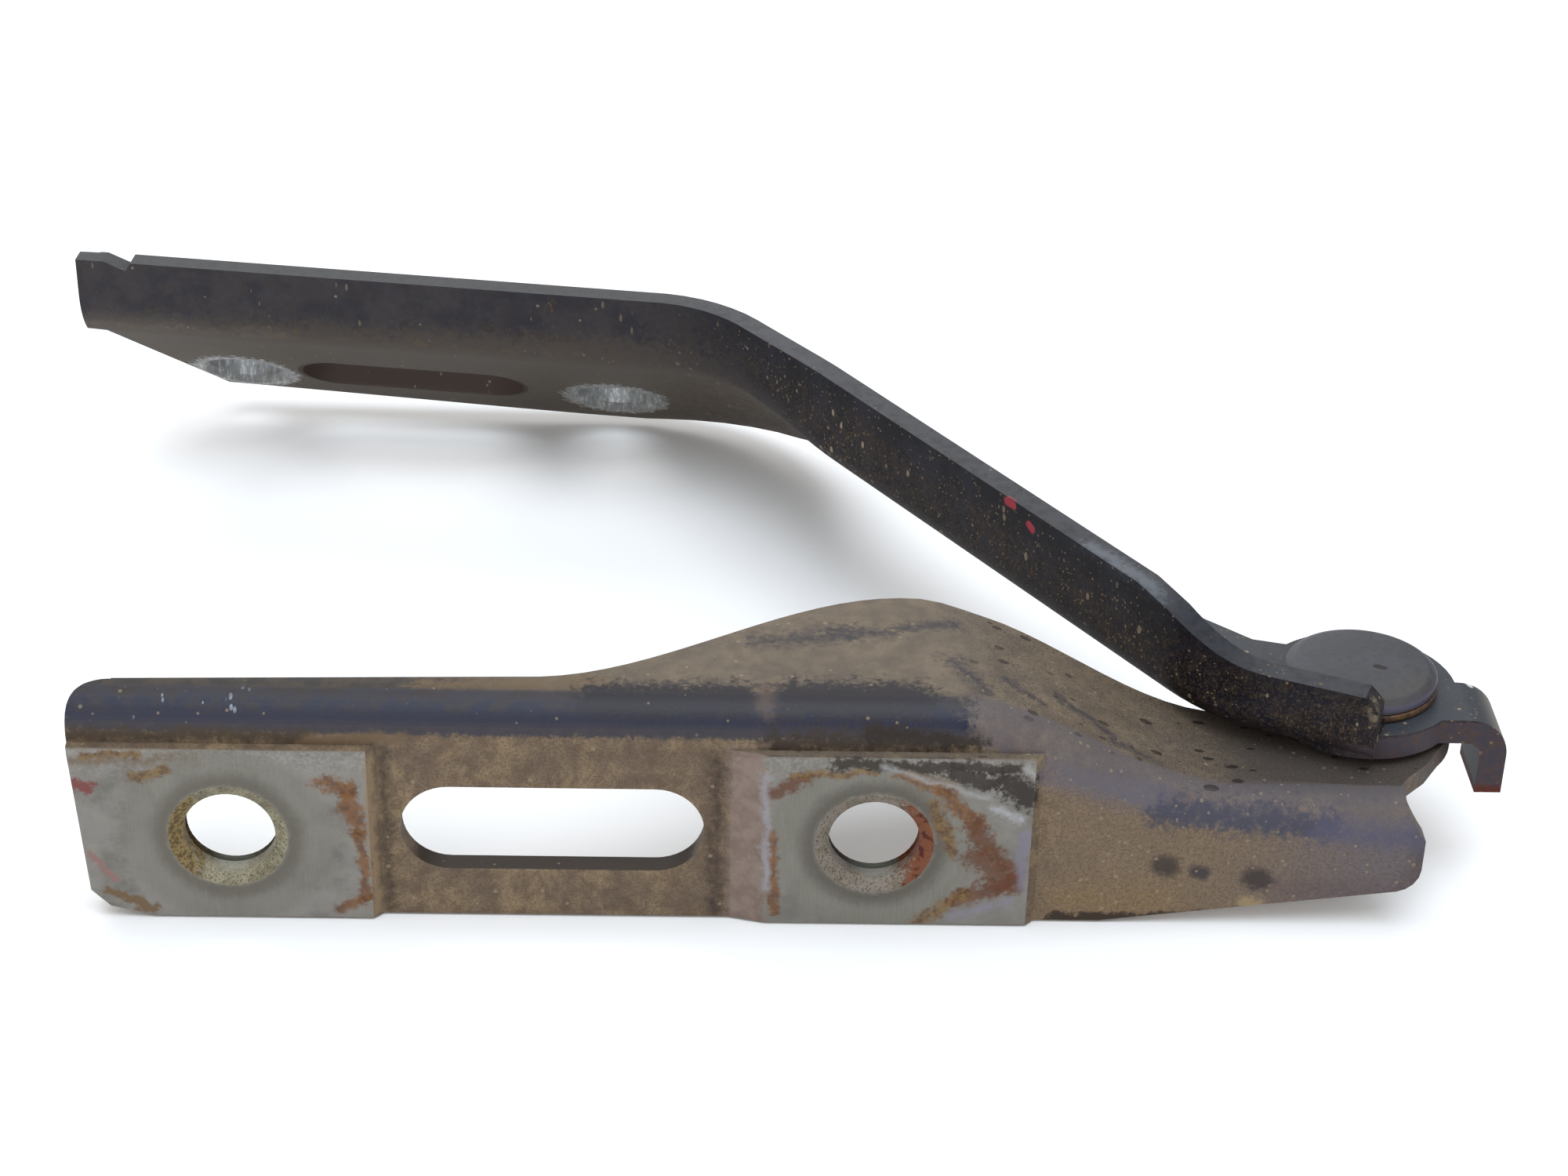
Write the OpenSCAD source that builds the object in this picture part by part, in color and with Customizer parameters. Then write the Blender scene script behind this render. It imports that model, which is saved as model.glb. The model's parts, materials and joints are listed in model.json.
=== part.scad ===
// Cranked two-leaf strap hinge: a body leaf, a bonnet leaf and one riveted pivot.
// X runs along the body leaf, Y points away from its bolting side, Z runs along the pivot.
// The origin is midway between the two body bolt holes, on the flange's front face.

/* [Steel] */
// Thickness of the body leaf's sheet
lower_t = 2.5; // [2:0.1:3.2]
// Thickness of the bonnet leaf's sheet
upper_t = 3; // [2.4:0.1:3.6]

/* [Pivot] */
// Pivot axis, along the body leaf from the origin
pivot_x = 90; // [84:1:110]
// Pivot axis, behind the flange's front face
pivot_y = 18; // [16:0.5:23]
// Diameter of the rivet's shank
shank_d = 10; // [8:0.5:11]
// Diameter of the rivet's domed head
head_d = 17; // [15:0.5:18]
// Height of the rivet's domed head
head_h = 1.7; // [1.2:0.1:3]
// Diameter of the formed tail under the body leaf
tail_d = 14; // [13:0.5:16]
// Height of the formed tail
tail_h = 2.2; // [1.6:0.1:3]
// Wall of the flanged bush
bush_wall = 1; // [0.8:0.1:1.5]
// Thickness of the bush's flange
bush_flange_t = 1; // [0.8:0.1:1.5]
// Diameter of the bush's flange
bush_flange_d = 17.2; // [16.5:0.1:17.6]
// Thickness of the spacer washer between the ears
spacer_t = 0.9; // [0.6:0.1:1.5]
// Thickness of the washer under the formed tail
tail_washer_t = 1; // [0.8:0.1:1.5]
// Outer diameter of both washers
washer_d = 18; // [16:0.5:19]
// Running clearance round the shank, on the radius
running_gap = 0.05; // [0.02:0.01:0.1]
// End play at each face that turns
end_play = 0.05; // [0.02:0.01:0.1]

/* [Body leaf] */
// Distance between the two body bolt holes
bolt_spacing = 70; // [64:1:76]
// Diameter of the body bolt holes
bolt_hole_d = 10; // [8.5:0.1:11]
// Diameter of the dished rim round each bolt hole
bolt_dish_d = 13; // [12:0.1:14]
// Depth of the dished rim
bolt_dish_depth = 0.8; // [0.4:0.1:1]
// Length of the adjustment slot, end to end
slot_l = 33; // [26:0.5:34]
// Height of the adjustment slot
slot_w = 10.7; // [8:0.1:11]
// Height of the slot's centre line above the bolt holes
slot_rise = 0.8; // [0:0.1:2]
// From the origin to the leaf's left end
leaf_left = 51.6; // [50:0.2:56]
// How far the flange runs past the pivot axis
flange_past_pivot = 5.3; // [4:0.1:6]
// From the bolt holes down to the flange's lower edge
flange_drop = 10.6; // [10:0.1:13]
// Height of the web's top face above the bolt holes
web_z = 16.5; // [15:0.5:19]
// Height of the pivot ear's top face above the bolt holes
ear_z = 5.5; // [5:0.1:7]
// Outer radius of the bend between flange and web
lower_bend_r = 4.5; // [3.5:0.1:5]
// How far the bolting pads stand proud of the flange
pad_rise = 1; // [0.5:0.1:1.2]
// Depth of the narrow lip at the left end, from the flange's front face
lip_y = 4.6; // [4.5:0.1:6]
// How far the hump swells beyond the lip
hump_rise = 16.4; // [12:0.2:18]
// Radius of the pivot ear
lower_ear_r = 10.8; // [10:0.1:11]

/* [Bonnet leaf] */
// Length of the straight arm
arm_l = 85; // [72:0.5:100]
// Length of the bolting strap beyond the elbow
strap_l = 76; // [70:0.5:95]
// Turn of the elbow between arm and strap
elbow_turn = 51.8; // [46:0.1:56]
// Radius of the elbow on the wall's outer face
elbow_r = 16.5; // [14:0.5:24]
// Height of the wall along the arm
arm_wall_h = 13; // [10:0.5:14]
// Height of the wall beside the pivot
ear_wall_h = 9; // [8.5:0.1:10]
// Width of the web along the arm, from the wall's outer face
arm_web_w = 12.5; // [10:0.5:14]
// Outer radius of the bend along the arm
upper_bend_r = 4; // [3.5:0.1:4.5]
// Outer radius of the bend along the bolting strap
strap_bend_r = 9; // [7:0.5:10]
// Angle through which the strap's flange is bent from the wall
strap_bend = 48; // [40:1:60]
// Width of the strap's flange beyond its bend
strap_flange_w = 24.4; // [23:0.1:26]
// Radius of the pivot ear
upper_ear_r = 10.9; // [10.6:0.1:12]
// Distance between the two bonnet bolt holes
bonnet_spacing = 52; // [48:0.5:60]
// Diameter of the bonnet bolt holes
bonnet_hole_d = 10; // [8.5:0.1:11]
// Diameter of the dished rim round each bonnet bolt hole
bonnet_dish_d = 13; // [12:0.1:14]
// Length of the bonnet slot, end to end
bonnet_slot_l = 31; // [24:0.5:32]
// Height of the bonnet slot
bonnet_slot_w = 10.7; // [8:0.1:11]
// Gap between the stop finger and the body leaf's ear
stop_gap = 1.9; // [1.3:0.1:3]
// Width of the stop finger
stop_w = 8; // [6:0.5:9]
// How far the stop finger hangs below the ear's underside
stop_drop = 6.5; // [5:0.5:7]

/* [Hidden] */
$fn = 64;
cut = 1;
arc_steps = 8;
strap_wall = 5;
strap_lift = 2.4;
hole_down = 16;
slot_down = 13.6;
stop_bend_r = 1.6;
stop_front = 7.5;
worn_corner = 1.6;
flange_taper = 3.5;

flange_right = pivot_x + flange_past_pivot;
upper_z = ear_z + 2 * end_play + spacer_t;
bush_d = shank_d + 2 * running_gap + 2 * bush_wall;
flange_under_z = upper_z + upper_t;
head_z = flange_under_z + bush_flange_t + end_play;
lower_under_z = ear_z - lower_t;
tail_z = lower_under_z - tail_washer_t;

// The web slopes down from the hump to the pivot ear between these two stations.
ramp_end = pivot_x - 16;
ramp_start = ramp_end - 32;
hump_x = ramp_start - 2;

function ease(x, a, b) = let (u = min(1, max(0, (x - a) / (b - a)))) u * u * (3 - 2 * u);
function mix(a, b, u) = a + (b - a) * u;
function web_top(x) = mix(web_z, ear_z, ease(x, ramp_start, ramp_end));
function back_edge(x) = lip_y + 0.03 * (x + leaf_left) + hump_rise * ease(x, hump_x - 42, hump_x - 2)
    - 2.7 * ease(x, hump_x - 1, hump_x + 8) - 0.16 * max(0, x - hump_x - 8);

// A closed skin over a row of rings that all have the same number of points.
module skin(rings) {
    count = len(rings);
    size = len(rings[0]);
    points = [for (ring = rings) each ring];
    sides = [for (i = [0 : count - 2]) for (j = [0 : size - 1]) let (k = (j + 1) % size)
        each [[i * size + j, i * size + k, (i + 1) * size + j],
              [i * size + k, (i + 1) * size + k, (i + 1) * size + j]]];
    first = [[for (j = [size - 1 : -1 : 0]) j]];
    last = [[for (j = [0 : size - 1]) (count - 1) * size + j]];
    polyhedron(points, concat(first, sides, last), convexity = 8);
}

// ---- Body leaf ----

// One cross-section of the bent sheet: up the flange, round the bend, out along the web.
function lower_ring(x) = let (
        top = web_top(x), axis_z = top - lower_bend_r, axis_y = lower_bend_r,
        inner_r = lower_bend_r - lower_t, step = 90 / arc_steps)
    concat(
        [[x, 0, -flange_drop - cut]],
        [for (a = [0 : step : 90]) [x, axis_y - lower_bend_r * cos(a), axis_z + lower_bend_r * sin(a)]],
        [[x, back_edge(x), top], [x, back_edge(x), top - lower_t]],
        [for (a = [90 : -step : 0]) [x, axis_y - inner_r * cos(a), axis_z + inner_r * sin(a)]],
        [[x, lower_t, -flange_drop - cut]]);

module lower_sheet() {
    spans = 64;
    skin([for (i = [0 : spans]) lower_ring(mix(-leaf_left - cut, flange_right + cut, i / spans))]);
}

// The flange's outline seen from the bolting side; the neck clears the swing of the stop finger.
module flange_outline() {
    corner_r = 3;
    rise_x = pivot_x - 30;
    right_drop = flange_drop - 4.3;
    polygon(concat(
        [[-leaf_left, web_z + cut], [-leaf_left, web_z - lower_bend_r]],
        [[-leaf_left + 1.2, -flange_drop + 3.3], [-leaf_left + 3.2, -flange_drop + 1.2]],
        [[-leaf_left + 8, -flange_drop], [rise_x, -flange_drop]],
        [for (a = [-80 : 20 : 0])
            [flange_right - corner_r + corner_r * cos(a), -right_drop + corner_r + corner_r * sin(a)]],
        [[flange_right, 0.5], [flange_right - 2.3, ear_z - 1.5], [flange_right - 2.3, web_z + cut]]));
}

module lower_ear() {
    neck = [flange_right - 1.4, lower_bend_r + 0.8];
    shoulder = [pivot_x + 6.1, pivot_y - 10.4];
    inside = lower_ear_r - 0.1;
    translate([0, 0, lower_under_z]) linear_extrude(lower_t) {
        translate([pivot_x, pivot_y]) circle(r = lower_ear_r);
        polygon([
            [ramp_end, lower_bend_r], [ramp_end, back_edge(ramp_end)],
            [pivot_x - inside * cos(50), pivot_y + inside * sin(50)], [pivot_x, pivot_y],
            [pivot_x + inside * cos(35), pivot_y - inside * sin(35)], shoulder,
            neck, [neck[0] - 1.4, neck[1] - 1.8], [neck[0] - 6, neck[1] - 1.8]]);
    }
}

// A bolting pad: a shallow emboss whose left and right flanks may slope.
module pad(left, right, left_ramp, right_ramp, y) {
    top = web_z - lower_bend_r - 0.6;
    translate([0, 0, -flange_drop]) linear_extrude(flange_drop + top)
        polygon([[left, y + pad_rise], [left + left_ramp, y],
                 [right - right_ramp, y], [right, y + pad_rise]]);
}

module pads(y) {
    pad(-leaf_left + 0.05, -bolt_spacing / 2 + 16.3, 0.05, 1, y);
    pad(bolt_spacing / 2 - 15.8, bolt_spacing / 2 + 18, 4, 1, y);
}

module bolt_hole(x) {
    translate([x, -pad_rise - cut, 0]) rotate([-90, 0, 0])
        cylinder(d = bolt_hole_d, h = pad_rise + lower_t + 2 * cut);
    translate([x, -pad_rise, 0]) rotate([-90, 0, 0])
        cylinder(d1 = bolt_dish_d, d2 = bolt_hole_d, h = bolt_dish_depth);
}

module long_hole(length, width, depth) {
    linear_extrude(depth) {
        square([length - width, width], center = true);
        for (side = [-1, 1]) translate([side * (length - width) / 2, 0]) circle(d = width);
    }
}

module lower_leaf() color("#5b5148") difference() {
    union() {
        intersection() {
            lower_sheet();
            translate([0, 100, 0]) rotate([90, 0, 0]) linear_extrude(200) flange_outline();
        }
        lower_ear();
        intersection() {
            pads(-pad_rise);
            translate([0, 100, 0]) rotate([90, 0, 0]) linear_extrude(200) flange_outline();
        }
    }
    translate([0, lower_t, 0]) pads(-pad_rise - 0.02);
    for (side = [-1, 1]) bolt_hole(side * bolt_spacing / 2);
    translate([0, lower_t + cut, slot_rise]) rotate([90, 0, 0])
        long_hole(slot_l, slot_w, lower_t + 2 * cut);
    translate([pivot_x, pivot_y, lower_under_z - cut]) cylinder(d = shank_d, h = lower_t + 2 * cut);
    translate([-leaf_left, back_edge(-leaf_left), web_z - lower_t - cut]) rotate([0, 0, -90])
        corner_round(4.4, lower_t + 2 * cut);
}

// What a rounded outside corner takes away, for a corner at the origin that fills +X and +Y.
module corner_round(r, depth) {
    linear_extrude(depth) difference() {
        translate([-cut, -cut]) square(r + cut);
        translate([r, r]) circle(r);
    }
}

// ---- Bonnet leaf ----

// The wall's outer face in plan: beside the pivot, round a sweep, along the arm, round the elbow.
start = [pivot_x - 0.66, pivot_y - 13.19];
ear_heading = 157;
ear_run = 11.57;
sweep_r = 25;
sweep_turn = 32.8;
arm_heading = ear_heading - sweep_turn;
strap_heading = arm_heading + elbow_turn;

function along(p, heading, d) = p + d * [cos(heading), sin(heading)];
function behind(heading) = [sin(heading), -cos(heading)];
function turn_right(p, heading, r, a) = p + r * behind(heading) - r * behind(heading - a);
function turn_left(p, heading, r, a) = p - r * behind(heading) + r * behind(heading + a);

sweep_start = along(start, ear_heading, ear_run);
arm_start = turn_right(sweep_start, ear_heading, sweep_r, sweep_turn);
elbow_start = along(arm_start, arm_heading, arm_l);
strap_start = turn_left(elbow_start, arm_heading, elbow_r, elbow_turn);

sweep_l = sweep_r * sweep_turn * PI / 180;
elbow_l = elbow_r * elbow_turn * PI / 180;
s_sweep = ear_run;
s_arm = s_sweep + sweep_l;
s_elbow = s_arm + arm_l;
s_strap = s_elbow + elbow_l;
s_end = s_strap + strap_l;

function heading_at(s) =
    s < s_sweep ? ear_heading :
    s < s_arm ? ear_heading - sweep_turn * (s - s_sweep) / sweep_l :
    s < s_elbow ? arm_heading :
    s < s_strap ? arm_heading + elbow_turn * (s - s_elbow) / elbow_l : strap_heading;
function place_at(s) =
    s < s_sweep ? along(start, ear_heading, s) :
    s < s_arm ? turn_right(sweep_start, ear_heading, sweep_r, sweep_turn * (s - s_sweep) / sweep_l) :
    s < s_elbow ? along(arm_start, arm_heading, s - s_arm) :
    s < s_strap ? turn_left(elbow_start, arm_heading, elbow_r, elbow_turn * (s - s_elbow) / elbow_l) :
    along(strap_start, strap_heading, s - s_strap);

// How far the section has opened from the arm's right angle to the strap's wide bend.
function opened(s) = ease(s, s_elbow - 20, s_elbow + 5);
function lift_at(s) = strap_lift * max(0, s - s_strap) / strap_l;
function wall_top(s) = upper_z + mix(ear_wall_h, arm_wall_h, ease(s, s_sweep + 2, s_arm + 6))
    - 0.8 * opened(s) + lift_at(s);
function bend_at(s) = mix(90, strap_bend, opened(s));
function radius_at(s) = mix(upper_bend_r, strap_bend_r, opened(s));
function wall_run(s) = mix(wall_top(s) - upper_z - upper_bend_r, strap_wall, opened(s));
function flange_run(s) =
    mix(arm_web_w - upper_bend_r, strap_flange_w + 1.5, ease(s, s_elbow - 20, s_strap + 4))
    - flange_taper * ease(s, s_strap, s_end);

function strap_point(s, back, z) = let (p = place_at(s) + back * behind(heading_at(s))) [p[0], p[1], z];

// One cross-section of the bonnet leaf: down the wall, round the bend, out along web or flange.
function upper_ring(s) = let (
        top = wall_top(s), bend = bend_at(s), r = radius_at(s), axis_z = top - wall_run(s),
        inner_r = r - upper_t, run = flange_run(s), step = bend / arc_steps,
        reach = [run * sin(bend), -run * cos(bend)],
        outer_end = [r - r * cos(bend), axis_z - r * sin(bend)],
        inner_end = [r - inner_r * cos(bend), axis_z - inner_r * sin(bend)])
    concat(
        [strap_point(s, upper_t, top), strap_point(s, 0, top)],
        [for (i = [0 : arc_steps]) let (a = i * step) strap_point(s, r - r * cos(a), axis_z - r * sin(a))],
        [strap_point(s, outer_end[0] + reach[0], outer_end[1] + reach[1]),
         strap_point(s, inner_end[0] + reach[0], inner_end[1] + reach[1])],
        [for (i = [arc_steps : -1 : 0]) let (a = i * step)
            strap_point(s, r - inner_r * cos(a), axis_z - inner_r * sin(a))]);

module upper_sheet() {
    stations = concat(
        [for (i = [0 : 3]) i * s_sweep / 4], [for (i = [0 : 7]) s_sweep + i * sweep_l / 8],
        [for (i = [0 : 11]) mix(s_arm, s_elbow - 20, i / 12)],
        [for (i = [0 : 17]) mix(s_elbow - 20, s_strap + 2, i / 18)],
        [for (i = [0 : 8]) mix(s_strap + 2, s_end, i / 8)]);
    skin([for (s = stations) upper_ring(s)]);
}

// Moves to a point on the strap flange's outer face and faces along the flange's normal.
s_mid = s_strap + 31.5;
strap_slope = atan(strap_lift / strap_l);
module on_strap(s, down) {
    z = wall_top(s) - strap_wall - strap_bend_r * sin(strap_bend);
    back = strap_bend_r - strap_bend_r * cos(strap_bend);
    translate(strap_point(s, back, z)) rotate([0, 0, strap_heading - 180])
        rotate([0, strap_slope, 0]) rotate([strap_bend, 0, 0]) translate([0, 0, -down]) children();
}

module bonnet_hole(s) {
    on_strap(s, hole_down) rotate([-90, 0, 0]) {
        translate([0, 0, -4]) cylinder(d = bonnet_hole_d, h = 12);
        translate([0, 0, -0.5]) cylinder(d1 = bonnet_dish_d, d2 = bonnet_hole_d, h = 1.3);
    }
}

module upper_ear() {
    inside = upper_ear_r - 0.1;
    translate([0, 0, upper_z]) linear_extrude(upper_t) {
        translate([pivot_x, pivot_y]) circle(r = upper_ear_r);
        polygon([
            [pivot_x + 1, pivot_y - 8], [pivot_x - 10, pivot_y - 3.5],
            along(arm_start, arm_heading, 4) + 5 * behind(arm_heading),
            along(arm_start, arm_heading, 9) + arm_web_w * behind(arm_heading),
            [pivot_x - 10.8, pivot_y + 9.3], [pivot_x - inside * cos(50), pivot_y + inside * sin(50)],
            [pivot_x, pivot_y]]);
    }
}

// The stop finger: a tab that leaves the ear on the right and is bent down past the body leaf's ear.
module stop_finger() {
    inner_x = pivot_x + lower_ear_r + stop_gap;
    root_x = pivot_x + bush_d / 2 + cut;
    outer_r = stop_bend_r + upper_t;
    translate([0, pivot_y - stop_front + stop_w, 0]) rotate([90, 0, 0]) linear_extrude(stop_w) {
        translate([root_x, upper_z]) square([inner_x - stop_bend_r - root_x, upper_t]);
        translate([inner_x - stop_bend_r, upper_z - stop_bend_r]) intersection() {
            difference() {
                circle(outer_r);
                circle(stop_bend_r);
            }
            square(outer_r + cut);
        }
        translate([inner_x, upper_z - stop_drop]) square([upper_t, stop_drop - stop_bend_r]);
    }
}

module upper_leaf() color("#26272c") difference() {
    union() {
        upper_sheet();
        upper_ear();
        stop_finger();
    }
    translate([pivot_x, pivot_y, upper_z - cut]) cylinder(d = bush_d, h = upper_t + 2 * cut);
    for (side = [-1, 1]) bonnet_hole(s_mid + side * bonnet_spacing / 2);
    on_strap(s_mid + 2, slot_down) rotate([-90, 0, 0]) translate([0, 0, -4])
        long_hole(bonnet_slot_l, bonnet_slot_w, 12);
    strap_end_cut();
    top_notch();
    wall_corner();
}

// The flange's left end is cut at a slant.
module strap_end_cut() {
    corner = along(strap_start, strap_heading, strap_l) + [2.8, 2.6];
    translate([0, 0, -30]) linear_extrude(70)
        polygon([corner, corner + [15, 18.6], corner + [-15, 30], corner + [-15, 0]]);
}

// A shallow nick in the wall's top edge near the left end.
module top_notch() {
    p = strap_point(s_end - 6, -cut, wall_top(s_end - 6));
    translate(p) rotate([0, 0, strap_heading - 180]) translate([0, upper_t + 2 * cut, 0]) rotate([90, 0, 0])
        linear_extrude(upper_t + 3 * cut) polygon([[-2.4, cut], [-2.4, 0.15], [0.6, -1.2], [2, cut]]);
}

// The worn top corner of the wall beside the pivot.
module wall_corner() {
    translate([start[0], start[1], wall_top(0)]) rotate([0, 0, ear_heading - 180])
        translate([0, -cut, 0]) rotate([-90, 0, 0]) linear_extrude(upper_t + 2 * cut)
            polygon([[cut, -cut], [-worn_corner - cut, -cut], [cut, worn_corner + cut]]);
}

// ---- Pivot ----

module pivot_rivet() color("#6c6e70") translate([pivot_x, pivot_y, 0]) {
    rim_h = head_h * 0.55;
    shank_l = head_z - tail_z + tail_h / 2 + rim_h / 2;
    translate([0, 0, tail_z - tail_h / 2]) cylinder(d = shank_d, h = shank_l);
    translate([0, 0, head_z]) rotate_extrude() polygon([
        [0, 0], [head_d / 2, 0], [head_d / 2, rim_h], [head_d / 2 - 0.9, head_h - 0.25],
        [head_d / 4, head_h], [0, head_h]]);
    translate([0, 0, tail_z]) rotate_extrude() polygon([
        [0, 0], [tail_d / 2, 0], [tail_d / 2, -tail_h * 0.5], [tail_d / 2 - 1.4, -tail_h], [0, -tail_h]]);
}

module pivot_bush() color("#8a6a3c") translate([pivot_x, pivot_y, 0]) difference() {
    rim = 0.3;
    union() {
        translate([0, 0, upper_z]) cylinder(d = bush_d, h = upper_t + bush_flange_t / 2);
        translate([0, 0, flange_under_z]) rotate_extrude() polygon([
            [0, 0], [bush_flange_d / 2 - rim, 0], [bush_flange_d / 2, rim],
            [bush_flange_d / 2, bush_flange_t], [0, bush_flange_t]]);
    }
    translate([0, 0, upper_z - cut])
        cylinder(d = shank_d + 2 * running_gap, h = upper_t + bush_flange_t + 2 * cut);
}

module washer(z, thickness) {
    translate([pivot_x, pivot_y, z]) difference() {
        cylinder(d = washer_d, h = thickness);
        translate([0, 0, -cut]) cylinder(d = shank_d + 2 * running_gap, h = thickness + 2 * cut);
    }
}

module spacer_washer() color("#7d7f82") washer(ear_z + end_play, spacer_t);
module tail_washer() color("#7d7f82") washer(tail_z, tail_washer_t);

lower_leaf();
upper_leaf();
pivot_rivet();
pivot_bush();
spacer_washer();
tail_washer();
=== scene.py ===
# %% [markdown]
# # A cranked strap hinge
# The real thing holds a vehicle's bonnet. A slotted body leaf is bolted to the shell, a
# cranked bonnet leaf carries the lid, and one rivet with a bush joins them. Both leaves are
# pressed from sheet steel, dipped in near-black paint and then used for years, so most of
# the work here is in edges, dirt, bare metal and rust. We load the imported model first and
# note its box, because nothing made below may grow out of it.

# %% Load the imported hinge
import json
import math

import bmesh
import bpy
from mathutils import Matrix, Vector


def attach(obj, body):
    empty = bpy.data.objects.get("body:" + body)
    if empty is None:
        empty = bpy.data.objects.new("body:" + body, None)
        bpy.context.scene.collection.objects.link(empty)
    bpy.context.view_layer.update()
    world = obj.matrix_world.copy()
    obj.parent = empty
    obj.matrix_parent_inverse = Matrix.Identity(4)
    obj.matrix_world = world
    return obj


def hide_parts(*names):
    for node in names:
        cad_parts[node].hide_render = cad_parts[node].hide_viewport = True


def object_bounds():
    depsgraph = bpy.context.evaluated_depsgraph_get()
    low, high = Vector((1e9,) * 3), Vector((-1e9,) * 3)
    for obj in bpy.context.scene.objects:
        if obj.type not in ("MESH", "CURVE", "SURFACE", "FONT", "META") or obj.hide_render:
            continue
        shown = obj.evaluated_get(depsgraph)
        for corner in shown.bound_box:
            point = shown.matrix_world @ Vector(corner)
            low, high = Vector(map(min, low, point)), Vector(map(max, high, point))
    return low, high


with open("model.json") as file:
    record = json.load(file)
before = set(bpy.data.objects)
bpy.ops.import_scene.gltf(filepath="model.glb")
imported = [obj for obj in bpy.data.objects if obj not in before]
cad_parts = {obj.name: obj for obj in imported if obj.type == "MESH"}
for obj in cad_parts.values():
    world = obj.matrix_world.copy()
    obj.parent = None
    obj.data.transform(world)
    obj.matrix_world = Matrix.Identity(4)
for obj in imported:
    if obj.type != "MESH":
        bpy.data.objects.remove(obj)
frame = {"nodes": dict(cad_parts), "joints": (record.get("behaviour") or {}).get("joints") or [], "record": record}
cad_box = [list(corner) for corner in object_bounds()]
MM = 0.001
print("hinge box in mm:", [[round(v / MM, 1) for v in corner] for corner in cad_box])

# %% [markdown]
# ## The camera
# A long lens from above and in front shows the body leaf's bolting side and looks down on
# the rivet. The height, the tilt and a slight roll are plain numbers, because they are choices
# of the view and not of the hinge.

# %% Place the camera
LENS_MM, SENSOR_MM = 72, 36
CAMERA_PLACE = (0.01814, -0.28023, 0.19668)
TILT, PAN, ROLL = 59.5, -1.3, 1.432

lens = bpy.data.cameras.new("long_lens")
lens.lens, lens.sensor_width, lens.sensor_fit = LENS_MM, SENSOR_MM, "HORIZONTAL"
camera = bpy.data.objects.new("camera", lens)
bpy.context.scene.collection.objects.link(camera)
turn = (Matrix.Rotation(math.radians(PAN), 4, "Z") @ Matrix.Rotation(math.radians(TILT), 4, "X")
        @ Matrix.Rotation(math.radians(ROLL), 4, "Z"))
camera.matrix_world = Matrix.Translation(CAMERA_PLACE) @ turn
bpy.context.scene.camera = camera

# %% [markdown]
# ## Floor and light
# A pale floor lies just under the lowest steel. Satin black paint shows mostly what it
# mirrors, so the lights matter as much as its colour: a broad cool panel overhead draws the
# blue sheen along the folds, a panel behind greys the top faces, and the front stays dim so
# that upright faces keep their black. The finishes below also paint part of that blue sheen
# and that grey into the colour, as painted reflections.

# %% Lay the floor
FLOOR_GAP = 0.3 * MM
floor_z = cad_box[0][2] - FLOOR_GAP


def flat_square(name, half, z):
    mesh = bpy.data.meshes.new(name)
    mesh.from_pydata([(-half, -half, z), (half, -half, z), (half, half, z), (-half, half, z)],
                     [], [(0, 1, 2, 3)])
    thing = bpy.data.objects.new(name, mesh)
    bpy.context.scene.collection.objects.link(thing)
    return thing


floor = flat_square("floor", 6.0, floor_z)
floor_paint = bpy.data.materials.new("pale_floor")
floor_paint.use_nodes = True
floor_shader = floor_paint.node_tree.nodes["Principled BSDF"]
floor_shader.inputs["Base Color"].default_value = (0.93, 0.93, 0.93, 1)
floor_shader.inputs["Roughness"].default_value = 0.9
floor_shader.inputs["Specular IOR Level"].default_value = 0.1
floor.data.materials.append(floor_paint)

# %% Hang the soft lights


def soft_panel(name, place, target, size, watts, colour):
    light = bpy.data.lights.new(name, "AREA")
    light.shape, light.size = "SQUARE", size
    light.energy, light.color = watts, colour
    lamp = bpy.data.objects.new(name, light)
    bpy.context.scene.collection.objects.link(lamp)
    lamp.location = place
    lamp.rotation_euler = (Vector(target) - Vector(place)).to_track_quat("-Z", "Y").to_euler()
    return lamp


soft_panel("overhead_panel", (0.1, -0.25, 1.3), (0.02, 0.04, 0), 1.3, 17, (0.86, 0.93, 1.0))
soft_panel("rear_panel", (-0.2, 1.5, 0.95), (0.02, 0.04, 0), 1.5, 17, (1.0, 0.99, 0.97))
soft_panel("front_fill", (-0.5, -1.5, 0.8), (0.02, 0.04, 0), 1.2, 9, (1.0, 0.97, 0.93))

world = bpy.data.worlds.new("room")
world.use_nodes = True
world.node_tree.nodes["Background"].inputs["Color"].default_value = (0.97, 0.98, 1.0, 1)
world.node_tree.nodes["Background"].inputs["Strength"].default_value = 0.42
bpy.context.scene.world = world
bpy.context.scene.view_settings.view_transform = "Standard"

# %% [markdown]
# ## Laying out shader nodes
# Every finish here is painted in layers, like a model maker's: a base coat, then one mask and
# one colour for each film of dirt or patch of rust. A few short helpers make the nodes, so
# that each finish below reads as a list of layers.

# %% Helpers that add nodes


def plug(tree, value, socket):
    if isinstance(value, bpy.types.NodeSocket):
        tree.links.new(value, socket)
    else:
        socket.default_value = value


def sum_node(tree, operation, *values, clamp=False):
    node = tree.nodes.new("ShaderNodeMath")
    node.operation, node.use_clamp = operation, clamp
    for value, socket in zip(values, node.inputs):
        plug(tree, value, socket)
    return node.outputs[0]


def vector_node(tree, operation, *values, out=0):
    node = tree.nodes.new("ShaderNodeVectorMath")
    node.operation = operation
    for value, socket in zip(values, node.inputs):
        plug(tree, value, socket)
    return node.outputs[out]


def soft_step(tree, value, low, high):
    node = tree.nodes.new("ShaderNodeMapRange")
    node.interpolation_type = "SMOOTHSTEP"
    for given, name in ((value, "Value"), (low, "From Min"), (high, "From Max")):
        plug(tree, given, node.inputs[name])
    return node.outputs[0]


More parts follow.
